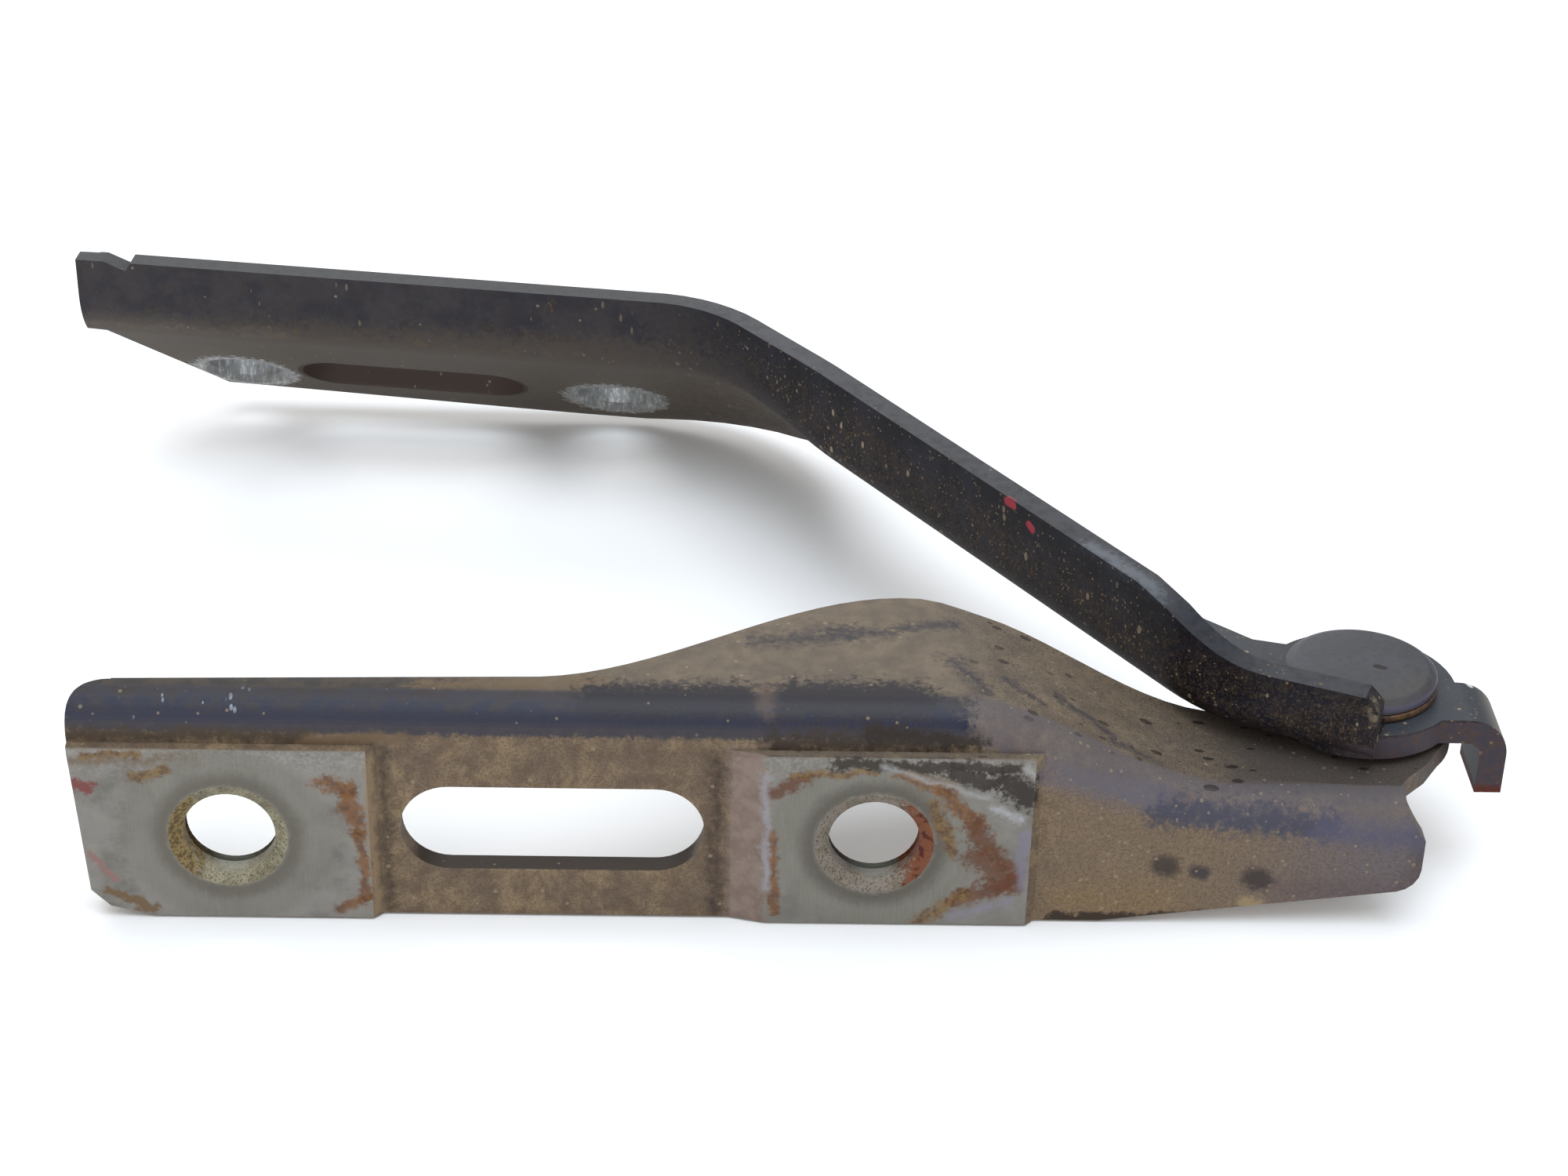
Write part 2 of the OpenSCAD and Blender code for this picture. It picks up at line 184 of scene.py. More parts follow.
def cloud_node(tree, place, scale, detail=4.0, rough=0.6):
    node = tree.nodes.new("ShaderNodeTexNoise")
    plug(tree, place, node.inputs["Vector"])
    plug(tree, scale, node.inputs["Scale"])
    node.inputs["Detail"].default_value = detail
    node.inputs["Roughness"].default_value = rough
    return node.outputs["Fac"]


def new_group(name, inputs, outputs):
    """A shader group with named sockets; returns its tree, its inputs and its output node."""
    tree = bpy.data.node_groups.new(name, "ShaderNodeTree")
    kinds = {"f": "NodeSocketFloat", "v": "NodeSocketVector"}
    for socket, kind, value in inputs:
        made = tree.interface.new_socket(socket, in_out="INPUT", socket_type=kinds[kind])
        made.default_value = value
    for socket, kind in outputs:
        tree.interface.new_socket(socket, in_out="OUTPUT", socket_type=kinds[kind])
    entry, end = tree.nodes.new("NodeGroupInput"), tree.nodes.new("NodeGroupOutput")
    return tree, entry.outputs, end.inputs


# %% [markdown]
# ## Effects that several finishes share
# Four effects come back on almost every piece, so each is a shader group. A **stroke** is a
# ragged smear between two points, good for stains, runs and rubbed spots. **Flecks** are
# grains of dirt stuck to paint. **Brushing** is the fine upright scratching of metal that was
# wiped or sanded. **Film** is the uneven veil that dried mud leaves. All of them measure the
# surface in millimetres.

# %% Stroke: a ragged smear between two points
stroke_group, get, put = new_group(
    "stroke",
    [("Place", "v", (0, 0, 0)), ("Plane", "v", (1, 0, 1)), ("From", "v", (0, 0, 0)),
     ("To", "v", (1, 0, 0)), ("Width", "f", 1.0), ("Ragged", "f", 0.5), ("Noise", "f", 0.0),
     ("Soft", "f", 0.3)],
    [("Mask", "f")])
start = vector_node(stroke_group, "MULTIPLY", get["From"], get["Plane"])
reach = vector_node(stroke_group, "SUBTRACT",
                    vector_node(stroke_group, "MULTIPLY", get["To"], get["Plane"]), start)
here = vector_node(stroke_group, "SUBTRACT",
                   vector_node(stroke_group, "MULTIPLY", get["Place"], get["Plane"]), start)
length_sq = vector_node(stroke_group, "DOT_PRODUCT", reach, reach, out=1)
share = sum_node(stroke_group, "DIVIDE", vector_node(stroke_group, "DOT_PRODUCT", here, reach, out=1),
                 sum_node(stroke_group, "MAXIMUM", length_sq, 0.0001), clamp=True)
scaled = stroke_group.nodes.new("ShaderNodeVectorMath")
scaled.operation = "SCALE"
plug(stroke_group, reach, scaled.inputs[0])
plug(stroke_group, share, scaled.inputs["Scale"])
away = vector_node(stroke_group, "LENGTH",
                   vector_node(stroke_group, "SUBTRACT", here, scaled.outputs[0]), out=1)
depth = sum_node(stroke_group, "SUBTRACT", 1.0, sum_node(stroke_group, "DIVIDE", away, get["Width"]))
depth = sum_node(stroke_group, "ADD", depth,
                 sum_node(stroke_group, "MULTIPLY", get["Noise"], get["Ragged"]))
plug(stroke_group, soft_step(stroke_group, depth, 0.0, get["Soft"]), put["Mask"])

# %% Flecks: grains of dirt stuck to paint
fleck_group, get, put = new_group(
    "flecks",
    [("Place", "v", (0, 0, 0)), ("Spacing", "f", 1.0), ("Stretch", "v", (1, 1, 1)),
     ("Size", "f", 0.3), ("Share", "f", 0.5)],
    [("Mask", "f")])
cells = fleck_group.nodes.new("ShaderNodeTexVoronoi")
plug(fleck_group, vector_node(fleck_group, "MULTIPLY", get["Place"], get["Stretch"]),
     cells.inputs["Vector"])
plug(fleck_group, sum_node(fleck_group, "DIVIDE", 1.0, get["Spacing"]), cells.inputs["Scale"])
tones = fleck_group.nodes.new("ShaderNodeSeparateColor")
plug(fleck_group, cells.outputs["Color"], tones.inputs[0])
kept = sum_node(fleck_group, "LESS_THAN", tones.outputs[0], get["Share"])
radius = sum_node(fleck_group, "MULTIPLY", get["Size"],
                  sum_node(fleck_group, "ADD", 0.35, tones.outputs[1]))
grain = soft_step(fleck_group, sum_node(fleck_group, "SUBTRACT", radius, cells.outputs["Distance"]),
                  0.0, 0.08)
plug(fleck_group, sum_node(fleck_group, "MULTIPLY", kept, grain), put["Mask"])

# %% Brushing and film
brush_group, get, put = new_group(
    "brushing", [("Place", "v", (0, 0, 0)), ("Lines", "v", (6, 6, 0.35)), ("Strength", "f", 1.0)],
    [("Height", "f")])
lines = cloud_node(brush_group, vector_node(brush_group, "MULTIPLY", get["Place"], get["Lines"]),
                   1.0, 5.0, 0.7)
plug(brush_group, sum_node(brush_group, "MULTIPLY", lines, get["Strength"]), put["Height"])

film_group, get, put = new_group(
    "film", [("Place", "v", (0, 0, 0)), ("Scale", "f", 0.3), ("Low", "f", 0.4), ("High", "f", 0.6)],
    [("Mask", "f")])
veil = cloud_node(film_group, get["Place"], get["Scale"], 6.0, 0.65)
plug(film_group, soft_step(film_group, veil, get["Low"], get["High"]), put["Mask"])
print("shader groups:", [group.name for group in bpy.data.node_groups])

# %% [markdown]
# ## A finish as a stack of layers
# The Principled shader stays in each material. The class below only remembers the colour and
# the roughness so far, and every layer mixes a new pair over them through a mask. The piece
# carries two attributes that the layers read: `facing`, the way each bit of surface looks, and
# `rim`, which is one on the rounded edges.

# %% The Finish class


LAMP_GAIN = 1.22
WANDER_MM = 2.2
TRACE = 1e-5
RAGGED_FROM, RAGGED_GROWTH = 1.5, 1.3


def tint(red, green, blue):
    """A colour as the eye names it under these lamps, from 0 to 255 a channel, in linear light."""
    def linear(value):
        value /= 255
        return (value / 12.92 if value <= 0.04045 else ((value + 0.055) / 1.055) ** 2.4) / LAMP_GAIN
    return (linear(red), linear(green), linear(blue), 1.0)


FRONT, TOP, ALL = (1, 0, 1), (1, 1, 0), (1, 1, 1)


class Finish:
    def __init__(self, name, colour, rough, metallic=0.0, specular=0.5):
        self.material = bpy.data.materials.new(name)
        self.material.use_nodes = True
        self.tree = self.material.node_tree
        self.shader = self.tree.nodes["Principled BSDF"]
        self.shader.inputs["Specular IOR Level"].default_value = specular
        self.colour, self.rough, self.metal = colour, rough, metallic
        self.height = None
        place = self.tree.nodes.new("ShaderNodeTexCoord").outputs["Object"]
        scale = self.tree.nodes.new("ShaderNodeVectorMath")
        scale.operation = "SCALE"
        plug(self.tree, place, scale.inputs[0])
        scale.inputs["Scale"].default_value = 1 / MM
        self.place = scale.outputs[0]
        drift = self.tree.nodes.new("ShaderNodeTexNoise")
        plug(self.tree, self.place, drift.inputs["Vector"])
        drift.inputs["Scale"].default_value, drift.inputs["Detail"].default_value = 0.32, 3.0
        shove = vector_node(self.tree, "SUBTRACT", drift.outputs["Color"], (0.5, 0.5, 0.5))
        shove = vector_node(self.tree, "MULTIPLY", shove, (WANDER_MM, WANDER_MM, WANDER_MM))
        self.wander = vector_node(self.tree, "ADD", self.place, shove)
        # The flange's long finish renders black without a trace of this drift in the place and
        # the facing, and moves too little with it to be seen.
        self.trace = vector_node(self.tree, "MULTIPLY", shove, (TRACE, TRACE, TRACE))
        split = self.tree.nodes.new("ShaderNodeSeparateXYZ")
        plug(self.tree, vector_node(self.tree, "ADD", self.place, self.trace), split.inputs[0])
        self.x, self.y, self.z = split.outputs
        self.ragged = sum_node(self.tree, "SUBTRACT", self.cloud(1.1, 6.0, 0.75), 0.5)
        self.core = self.cloud(0.9, 6.0, 0.7)
        self.shift = sum_node(self.tree, "MULTIPLY", self.ragged, 9.0)
        self.wobble = sum_node(self.tree, "MULTIPLY", self.ragged, 0.5)
        self.worn_x = sum_node(self.tree, "ADD", self.x, self.shift)
        self.facing = self.split_attribute("facing")
        rim = self.tree.nodes.new("ShaderNodeAttribute")
        rim.attribute_name = "rim"
        self.rim = rim.outputs["Fac"]

    def split_attribute(self, name):
        node = self.tree.nodes.new("ShaderNodeAttribute")
        node.attribute_name = name
        split = self.tree.nodes.new("ShaderNodeSeparateXYZ")
        plug(self.tree, vector_node(self.tree, "ADD", node.outputs["Vector"], self.trace), split.inputs[0])
        return split.outputs

    def cloud(self, scale, detail=4.0, rough=0.6):
        return cloud_node(self.tree, self.place, scale, detail, rough)

    def step(self, value, low, high):
        return soft_step(self.tree, value, low, high)

    def both(self, *masks):
        result = masks[0]
        for mask in masks[1:]:
            result = sum_node(self.tree, "MULTIPLY", result, mask)
        return result

    def less(self, mask):
        return sum_node(self.tree, "SUBTRACT", 1.0, mask)

    def group(self, group, out="Mask", **values):
        node = self.tree.nodes.new("ShaderNodeGroup")
        node.node_tree = group
        values.setdefault("Place", self.place)
        for name, value in values.items():
            plug(self.tree, value, node.inputs[name])
        return node.outputs[out]

    def stroke(self, start, end, width, plane=FRONT, ragged=2.6, soft=0.6):
        """A smear between two points, each given by all three numbers or by the two of the plane."""
        def full(point):
            return (point[0], 0, point[1]) if plane == FRONT else (point[0], point[1], 0)
        if len(start) == 3:
            first, last = start, end
        else:
            first, last = full(start), full(end)
        place = self.place
        if ragged > RAGGED_FROM:
            place, width = self.wander, width * RAGGED_GROWTH
        return self.group(stroke_group, Place=place, Plane=plane, From=first, To=last, Width=width,
                          Ragged=ragged, Noise=self.ragged, Soft=soft)

    def mix(self, mask, below, above, kind="RGBA"):
        node = self.tree.nodes.new("ShaderNodeMix")
        node.data_type = kind
        factor, first, second, result = {"RGBA": (0, 6, 7, 2), "FLOAT": (0, 2, 3, 0)}[kind]
        plug(self.tree, mask, node.inputs[factor])
        plug(self.tree, below, node.inputs[first])
        plug(self.tree, above, node.inputs[second])
        return node.outputs[result]

    def lay(self, mask, colour, rough=None, metal=None, strength=1.0):
        if strength != 1.0:
            mask = sum_node(self.tree, "MULTIPLY", mask, strength)
        self.colour = self.mix(mask, self.colour, colour)
        if rough is not None:
            self.rough = self.mix(mask, self.rough, rough, "FLOAT")
        if metal is not None:
            self.metal = self.mix(mask, self.metal, metal, "FLOAT")

    def raise_by(self, height, amount):
        part = sum_node(self.tree, "MULTIPLY", height, amount)
        self.height = part if self.height is None else sum_node(self.tree, "ADD", self.height, part)

    def dry_where_brown(self, rough):
        """Dust and rust are brown and dry, so the warmer the colour, the rougher the surface."""
        split = self.tree.nodes.new("ShaderNodeSeparateColor")
        plug(self.tree, self.colour, split.inputs[0])
        warmth = sum_node(self.tree, "SUBTRACT", split.outputs[0], split.outputs[2])
        self.rough = self.mix(self.step(warmth, 0.02, 0.10), self.rough, rough, "FLOAT")

    def done(self, bump_mm=0.05, strength=0.6):
        plug(self.tree, self.colour, self.shader.inputs["Base Color"])
        plug(self.tree, self.rough, self.shader.inputs["Roughness"])
        plug(self.tree, self.metal, self.shader.inputs["Metallic"])
        if self.height is not None:
            bump = self.tree.nodes.new("ShaderNodeBump")
            bump.inputs["Strength"].default_value = strength
            bump.inputs["Distance"].default_value = bump_mm * MM
            plug(self.tree, self.height, bump.inputs["Height"])
            plug(self.tree, bump.outputs[0], self.shader.inputs["Normal"])
        return self.material


# %% [markdown]
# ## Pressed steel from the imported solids
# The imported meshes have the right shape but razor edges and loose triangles. Sheared and
# stamped sheet never has such edges, so each piece is a copy: its triangles are merged, flat
# faces are joined up again, and a small bevel rounds the edges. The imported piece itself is
# hidden, not changed. Weighted normals keep the flats flat and the folds smooth.

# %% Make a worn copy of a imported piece


MERGE_M = 2e-6
FLAT_DEG = 0.5


def worn_copy(node, name, edge_mm, body, crease_deg=32):
    mesh = frame["nodes"][node].data.copy()
    mesh.name = name
    mesh.materials.clear()
    work = bmesh.new()
    work.from_mesh(mesh)
    bmesh.ops.remove_doubles(work, verts=work.verts, dist=MERGE_M)
    bmesh.ops.dissolve_limit(work, angle_limit=math.radians(FLAT_DEG), verts=work.verts,
                             edges=work.edges)
    work.to_mesh(mesh)
    work.free()
    rough_piece = bpy.data.objects.new(name + "_work", mesh)
    bpy.context.scene.collection.objects.link(rough_piece)
    mesh.materials.append(None)
    mesh.materials.append(None)
    mesh.shade_smooth()
    bevel = rough_piece.modifiers.new("edge", "BEVEL")
    bevel.width, bevel.segments, bevel.limit_method = edge_mm * MM, 3, "ANGLE"
    bevel.angle_limit, bevel.material = math.radians(crease_deg), 1
    bevel.use_clamp_overlap, bevel.harden_normals = True, True
    weigh = rough_piece.modifiers.new("weigh", "WEIGHTED_NORMAL")
    weigh.keep_sharp = True
    seen = bpy.context.evaluated_depsgraph_get()
    made = bpy.data.meshes.new_from_object(rough_piece.evaluated_get(seen), depsgraph=seen)
    made.name = name
    bpy.data.objects.remove(rough_piece)
    facing = made.attributes.new("facing", "FLOAT_VECTOR", "CORNER")
    facing.data.foreach_set("vector", [v for n in made.corner_normals for v in n.vector])
    rim = made.attributes.new("rim", "FLOAT", "FACE")
    rim.data.foreach_set("value", [float(p.material_index) for p in made.polygons])
    made.polygons.foreach_set("material_index", [0] * len(made.polygons))
    made.materials.clear()
    piece = bpy.data.objects.new(name, made)
    bpy.context.scene.collection.objects.link(piece)
    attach(piece, body)
    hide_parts(node)
    print(name, len(made.polygons), "faces")
    return piece


body_leaf = worn_copy("lower_leaf", "body_leaf", 0.28, "body_side")
bonnet_leaf = worn_copy("upper_leaf", "bonnet_leaf", 0.32, "bonnet_side")
rivet = worn_copy("pivot_rivet", "rivet", 0.22, "body_side", crease_deg=20)
bush = worn_copy("pivot_bush", "bush", 0.12, "bonnet_side")
spacer = worn_copy("spacer_washer", "ear_spacer", 0.1, "body_side")
tail_ring = worn_copy("tail_washer", "tail_ring", 0.12, "body_side")

# %% [markdown]
# ## The body leaf: paint under brown dirt
# The leaf left the dip tank blue-black. Road dirt then dried on it in a brown film that is
# thickest on flat ground and wiped thin where the fold sheds water, so the fold shows the
# glossy blue-black paint, lightened into a blue band by a painted reflection of the overhead
# light. The film is a stack of clouds at several sizes, and the band follows the way the
# surface faces, so it runs along the fold wherever that goes.

# %% Body leaf: the film
PIVOT_X, PIVOT_Y = [value / MM for value in frame["joints"][0]["pos_m"][:2]]


def dirt_film(name):
    dirt = Finish(name, tint(120, 103, 85), 0.6, specular=0.22)
    dirt.face_z = dirt.facing[2]
    dirt.upward = dirt.step(dirt.face_z, 0.78, 0.97)
    dirt.frontal = sum_node(dirt.tree, "MULTIPLY", dirt.facing[1], -1.0)
    dirt.forward = dirt.step(dirt.frontal, 0.8, 0.98)
    dirt.mottle = dirt.group(film_group, Scale=0.16, Low=0.4, High=0.62)
    dirt.spread = dirt.group(film_group, Scale=0.5, Low=0.38, High=0.66)
    dirt.fine = dirt.group(film_group, Scale=2.1, Low=0.42, High=0.6)
    dirt.soot = dirt.group(film_group, Scale=4.2, Low=0.5, High=0.62)

    dirt.lay(dirt.mottle, tint(146, 126, 98))
    dirt.lay(dirt.spread, tint(94, 77, 64), strength=0.7)
    dirt.cored = dirt.step(dirt.core, 0.42, 0.62)
    dirt.lay(dirt.both(dirt.step(dirt.x, 50.0, 57.0), dirt.forward), tint(128, 110, 90), strength=0.8)
    dirt.lay(dirt.both(dirt.stroke((56, -8), (67, -8), 3.6, soft=1.2), dirt.forward),
             tint(144, 118, 78), strength=0.55)
    dirt.lay(dirt.both(dirt.step(dirt.worn_x, 70.0, 92.0), dirt.forward), tint(104, 98, 104), strength=0.85)
    dirt.lay(dirt.both(dirt.stroke((80, -6), (94, -6.5), 2.6, soft=1.4), dirt.forward),
             tint(92, 78, 82), strength=0.7)
    dirt.lay(dirt.step(dirt.worn_x, 92.0, 96.0), tint(74, 66, 70), strength=0.75)
    dirt.lay(dirt.fine, tint(92, 77, 66), strength=0.4)
    dirt.lay(dirt.soot, tint(66, 56, 48), strength=0.35)
    return dirt


# %% Body leaf: the glossy band along the fold, partly painted reflection


def fold_band(dirt):
    # The band on the bent faces is partly the blue-black paint under thin dirt and partly a painted blue
    # reflection of the overhead light.
    bent = dirt.both(dirt.step(sum_node(dirt.tree, "ADD", dirt.face_z, dirt.wobble), 0.10, 0.22),
                     dirt.less(dirt.step(dirt.face_z, 0.95, 0.995)), dirt.step(dirt.frontal, 0.02, 0.15))
    left_part = dirt.less(dirt.step(dirt.worn_x, 43.5, 46.5))
    dirt.lay(dirt.both(bent, left_part), tint(58, 57, 66), 0.36, strength=0.92)
    # Painted reflection: a dark blue gloss of the overhead light on the middle of the bend.
    sheen = dirt.both(bent, left_part, dirt.step(dirt.face_z, 0.3, 0.55),
                      dirt.less(dirt.step(dirt.face_z, 0.8, 0.93)))
    dirt.lay(sheen, tint(34, 39, 60), 0.22, strength=0.9)
    dirt.lay(dirt.both(bent, left_part, dirt.spread, dirt.step(dirt.face_z, 0.5, 0.8)),
             tint(60, 52, 46), strength=0.7)
    for start, end, width in (((5, 2.6), (20, 3.2), 2.6), ((26, 3.4), (39, 3.4), 3.0)):
        blot = dirt.both(dirt.stroke(start, end, width, TOP, 2.6, 0.7), dirt.step(dirt.face_z, 0.45, 0.7))
        dirt.lay(blot, tint(42, 40, 46), strength=0.92)
    gap_between = dirt.both(dirt.stroke((22.6, 2.0), (23.2, 4.0), 1.3, TOP, 2.0, 0.9),
                            dirt.step(dirt.face_z, 0.3, 0.6))
    dirt.lay(gap_between, tint(92, 76, 68), strength=0.7)
    # Painted reflection: a grey-violet band of the overhead light along the bend over the ramp.
    ramp_bend_reflection = dirt.both(bent, dirt.less(left_part))
    dirt.lay(ramp_bend_reflection, tint(98, 93, 98), strength=0.65)
    # Painted reflection: bluish strokes of the overhead light along the bend on the right part.
    dirt.lay(dirt.both(dirt.stroke((48, 10.0), (66, 5.0), 2.3, FRONT, 2.4, 1.3),
                       dirt.step(dirt.frontal, 0.2, 0.6)),
             tint(98, 96, 110), strength=0.7)
    dirt.lay(dirt.both(dirt.stroke((66, 3.6), (84, 2.2), 1.9, FRONT, 3.4, 0.9),
                       dirt.step(dirt.frontal, 0.1, 0.5)),
             tint(64, 66, 82), strength=0.85)
    dirt.lay(dirt.both(dirt.stroke((84, 1.6), (96, 0.6), 2.2, FRONT, 2.4, 1.3),
                       dirt.step(dirt.frontal, 0.1, 0.5)),
             tint(84, 84, 106), strength=0.85)
    for start, end, width, tone in (((-52, 12.5), (-26, 12.3), 1.0, tint(70, 58, 46)),
                                    ((-26, 11.9), (-16, 12.3), 0.8, tint(112, 92, 70)),
                                    ((24, 12.4), (42, 12.4), 1.7, tint(58, 48, 41)),
                                    ((34, 13.4), (46, 12.6), 1.1, tint(46, 38, 33))):
        dirt.lay(dirt.both(dirt.stroke(start, end, width, FRONT, 2.6, 0.9),
                           dirt.step(dirt.frontal, 0.3, 0.7)), tone, strength=0.92)


# %% Body leaf: the web seen from above
dirt = dirt_film("body_leaf_web")
dirt.lay(dirt.upward, tint(112, 100, 86), 0.7, strength=0.9)
dirt.lay(dirt.both(dirt.upward, dirt.mottle), tint(124, 110, 92), strength=0.7)
dirt.lay(dirt.both(dirt.upward, dirt.spread), tint(88, 79, 72), strength=0.5)
dirt.lay(dirt.both(dirt.upward, dirt.step(dirt.worn_x, 66.0, 80.0)), tint(76, 70, 66), strength=0.85)
rough_ground = dirt.both(dirt.step(dirt.worn_x, 40.0, 52.0), dirt.upward)
dirt.lay(dirt.both(rough_ground, dirt.soot), tint(58, 50, 46), strength=0.75)
for start, end, width in (
        ((22, 14.0), (32, 15.4), 1.9), ((30, 16.4), (37, 16.2), 1.6), ((38, 17.3), (44, 18.4), 1.4),
        ((43.5, 10.5), (46.5, 5.5), 1.5), ((49, 9.0), (53, 7.0), 0.9), ((55, 9.5), (61, 7.0), 1.1),
        ((61, 5.6), (66, 5.2), 1.0), ((79, 0.6), (91, 1.4), 1.6)):
    dirt.lay(dirt.both(dirt.step(dirt.face_z, 0.6, 0.9), dirt.stroke(start, end, width, TOP, 3.4, 1.3)),
             tint(58, 56, 62), strength=0.85)
lip = dirt.both(dirt.less(dirt.step(dirt.worn_x, -14.0, 0.0)), dirt.step(dirt.z, 11.5, 13.5))
dirt.lay(dirt.both(lip, dirt.step(dirt.face_z, 0.5, 0.9)), tint(60, 57, 55))
dirt.lay(dirt.both(lip, dirt.upward, dirt.spread), tint(84, 73, 62), strength=0.7)
dirt.lay(dirt.both(dirt.step(dirt.face_z, 0.6, 0.9), dirt.stroke((-14, 4.2), (5, 5.0), 2.2, TOP, 3.4, 1.2)),
         tint(106, 89, 68))
fold_band(dirt)
speck = dirt.group(fleck_group, Spacing=1.4, Size=0.16, Share=0.5)
dirt.lay(speck, tint(152, 138, 114), strength=0.55)
pale = dirt.both(dirt.group(fleck_group, Spacing=0.9, Size=0.2, Share=0.4),
                 dirt.step(dirt.worn_x, 44.0, 56.0))
dirt.lay(pale, tint(148, 134, 112), strength=0.6)
pit = dirt.both(dirt.group(fleck_group, Spacing=1.7, Stretch=(0.6, 1.2, 1.0), Size=0.27, Share=0.5),
                rough_ground)
dirt.lay(pit, tint(36, 30, 28), strength=0.85)
# Painted highlight: white glints of light on the fold at the left end.
glint = dirt.group(fleck_group, Spacing=0.6, Stretch=(1.0, 0.5, 0.5), Size=0.3, Share=0.45)
dirt.lay(dirt.both(glint, dirt.stroke((-44, 1.8), (-33, 1.8), 1.6, TOP, 2.6, 1.4),
                   dirt.step(dirt.face_z, 0.15, 0.4)), tint(170, 178, 190), strength=0.7)
worn_rim = dirt.both(dirt.rim, dirt.step(dirt.core, 0.48, 0.62))
dirt.lay(worn_rim, tint(120, 108, 94), strength=0.45)
dirt.dry_where_brown(0.68)
dirt.raise_by(dirt.cloud(2.4, 6.0, 0.7), 1.0)
dirt.raise_by(pit, -1.4)
web_coat = dirt.done(0.07, 0.6)
print("web layers:", len(dirt.tree.nodes), "nodes")

# %% [markdown]
# ## The body leaf: bare pads, rings and rust
# The two pads were clamped against the shell, so no dirt reached them. They show zinc-grey
# metal with upright brushing, a ring where a bolt's flange pressed, and rust that crept in
# from the sides. Each run of rust is a short row of strokes,
# with darker patches mixed into each, because old rust is never one brown.

# %% Body leaf: bare pads
dirt = dirt_film("body_leaf_flange")
fold_band(dirt)
raised = dirt.step(dirt.y, -0.28, -0.72)
on_pad = dirt.both(raised, dirt.less(dirt.step(dirt.z, 10.9, 11.4)), dirt.forward)
brushing = dirt.group(brush_group, "Height", Lines=(5.0, 5.0, 0.22), Strength=1.0)
dirt.lay(on_pad, tint(136, 132, 126), 0.44)
dirt.lay(dirt.both(on_pad, dirt.step(brushing, 0.38, 0.66)), tint(140, 137, 131), strength=0.6)
dirt.lay(dirt.both(on_pad, dirt.mottle), tint(104, 101, 94), strength=0.7)
dirt.lay(dirt.both(on_pad, dirt.spread), tint(146, 142, 134), strength=0.5)
dirt.lay(dirt.both(on_pad, dirt.step(dirt.z, 6.0, 11.0), dirt.fine), tint(164, 160, 154), strength=0.55)
right_pad = dirt.step(dirt.x, 18.0, 19.0)
dirt.lay(dirt.both(on_pad, right_pad, dirt.spread), tint(112, 108, 98), strength=0.5)
# The ramp up to the right pad: its pinkish-brown tone, partly lightened by a painted highlight on the slope that
# faces the light.
ramp_tone_and_light = dirt.both(right_pad, dirt.less(dirt.step(dirt.worn_x, 22.6, 23.6)), dirt.step(dirt.y, 0.05, -0.1))
dirt.lay(ramp_tone_and_light, tint(140, 124, 114))
dirt.lay(dirt.both(ramp_tone_and_light, dirt.spread), tint(112, 92, 82), strength=0.6)
# Painted shadow: dark lines along the steps where the raised pads end.
dirt.lay(dirt.stroke((17.8, -10), (17.8, 10.5), 1.5, soft=1.3), tint(62, 50, 44), strength=0.85)
dirt.lay(dirt.stroke((-17.9, -10), (-17.9, 10.5), 1.0, soft=1.3), tint(62, 51, 42), strength=0.8)
dirt.lay(dirt.both(dirt.step(dirt.frontal, 0.3, 0.7), dirt.stroke((-19.5, -10), (-19.5, 10), 0.6, soft=0.9)),
         tint(150, 128, 100), strength=0.8)
dirt.lay(dirt.both(on_pad, dirt.stroke((-51, 9.4), (-38, 10.2), 1.1, soft=1.2)),
         tint(112, 98, 82), strength=0.8)

# %% Body leaf: bolt rings and hole rims
HOLE_X = 35.0
BORE_EDGE = (6.35, 6.6)


def from_hole(finish, x, z):
    across = sum_node(finish.tree, "SUBTRACT", finish.x, x)
    up = sum_node(finish.tree, "SUBTRACT", finish.z, z)
    square = sum_node(finish.tree, "ADD", sum_node(finish.tree, "MULTIPLY", across, across),
                      sum_node(finish.tree, "MULTIPLY", up, up))
    return sum_node(finish.tree, "SQRT", square)


for side, ring_tone, bore_tone in ((-1, tint(98, 92, 84), tint(158, 152, 128)),
                                   (1, tint(86, 80, 72), tint(140, 130, 120))):
    gap = sum_node(dirt.tree, "ADD", from_hole(dirt, side * HOLE_X, 0.0),
                   sum_node(dirt.tree, "MULTIPLY", dirt.ragged, 1.6))
    disc = dirt.less(dirt.step(gap, 10.6, 12.0))
    dirt.lay(dirt.both(on_pad, disc), tint(122, 120, 110), 0.4, strength=0.6)
    dirt.lay(dirt.both(on_pad, disc, dirt.step(brushing, 0.46, 0.62)), tint(140, 137, 127), strength=0.4)
    ring = dirt.both(dirt.step(gap, 6.2, 6.9), dirt.less(dirt.step(gap, 7.0, 9.2)))
    dirt.lay(dirt.both(on_pad, ring), ring_tone, strength=0.75)
    bore = dirt.less(dirt.step(from_hole(dirt, side * HOLE_X, 0.0), *BORE_EDGE))
    dirt.lay(bore, bore_tone, 0.34)
    dirt.lay(dirt.both(bore, dirt.spread), tint(112, 104, 84), strength=0.8)
    dirt.lay(dirt.both(bore, dirt.soot), tint(54, 44, 36), strength=0.8)
    # Painted shade: the bore darkens with depth.
    dirt.lay(dirt.both(bore, dirt.step(dirt.y, 0.2, 2.0)), tint(70, 64, 54), strength=0.6)
    # Painted highlight: a bright glint along the lower wall of the bore near its mouth.
    dirt.lay(dirt.both(bore, dirt.less(dirt.step(dirt.z, -5.6, -4.2)), dirt.step(dirt.y, -0.6, 0.4)),
             tint(150, 158, 148), 0.26, strength=0.6)
rusty_bore = dirt.both(bore, dirt.step(dirt.worn_x, HOLE_X + 2.4, HOLE_X + 4.2))
dirt.lay(rusty_bore, tint(124, 70, 44), strength=0.9)
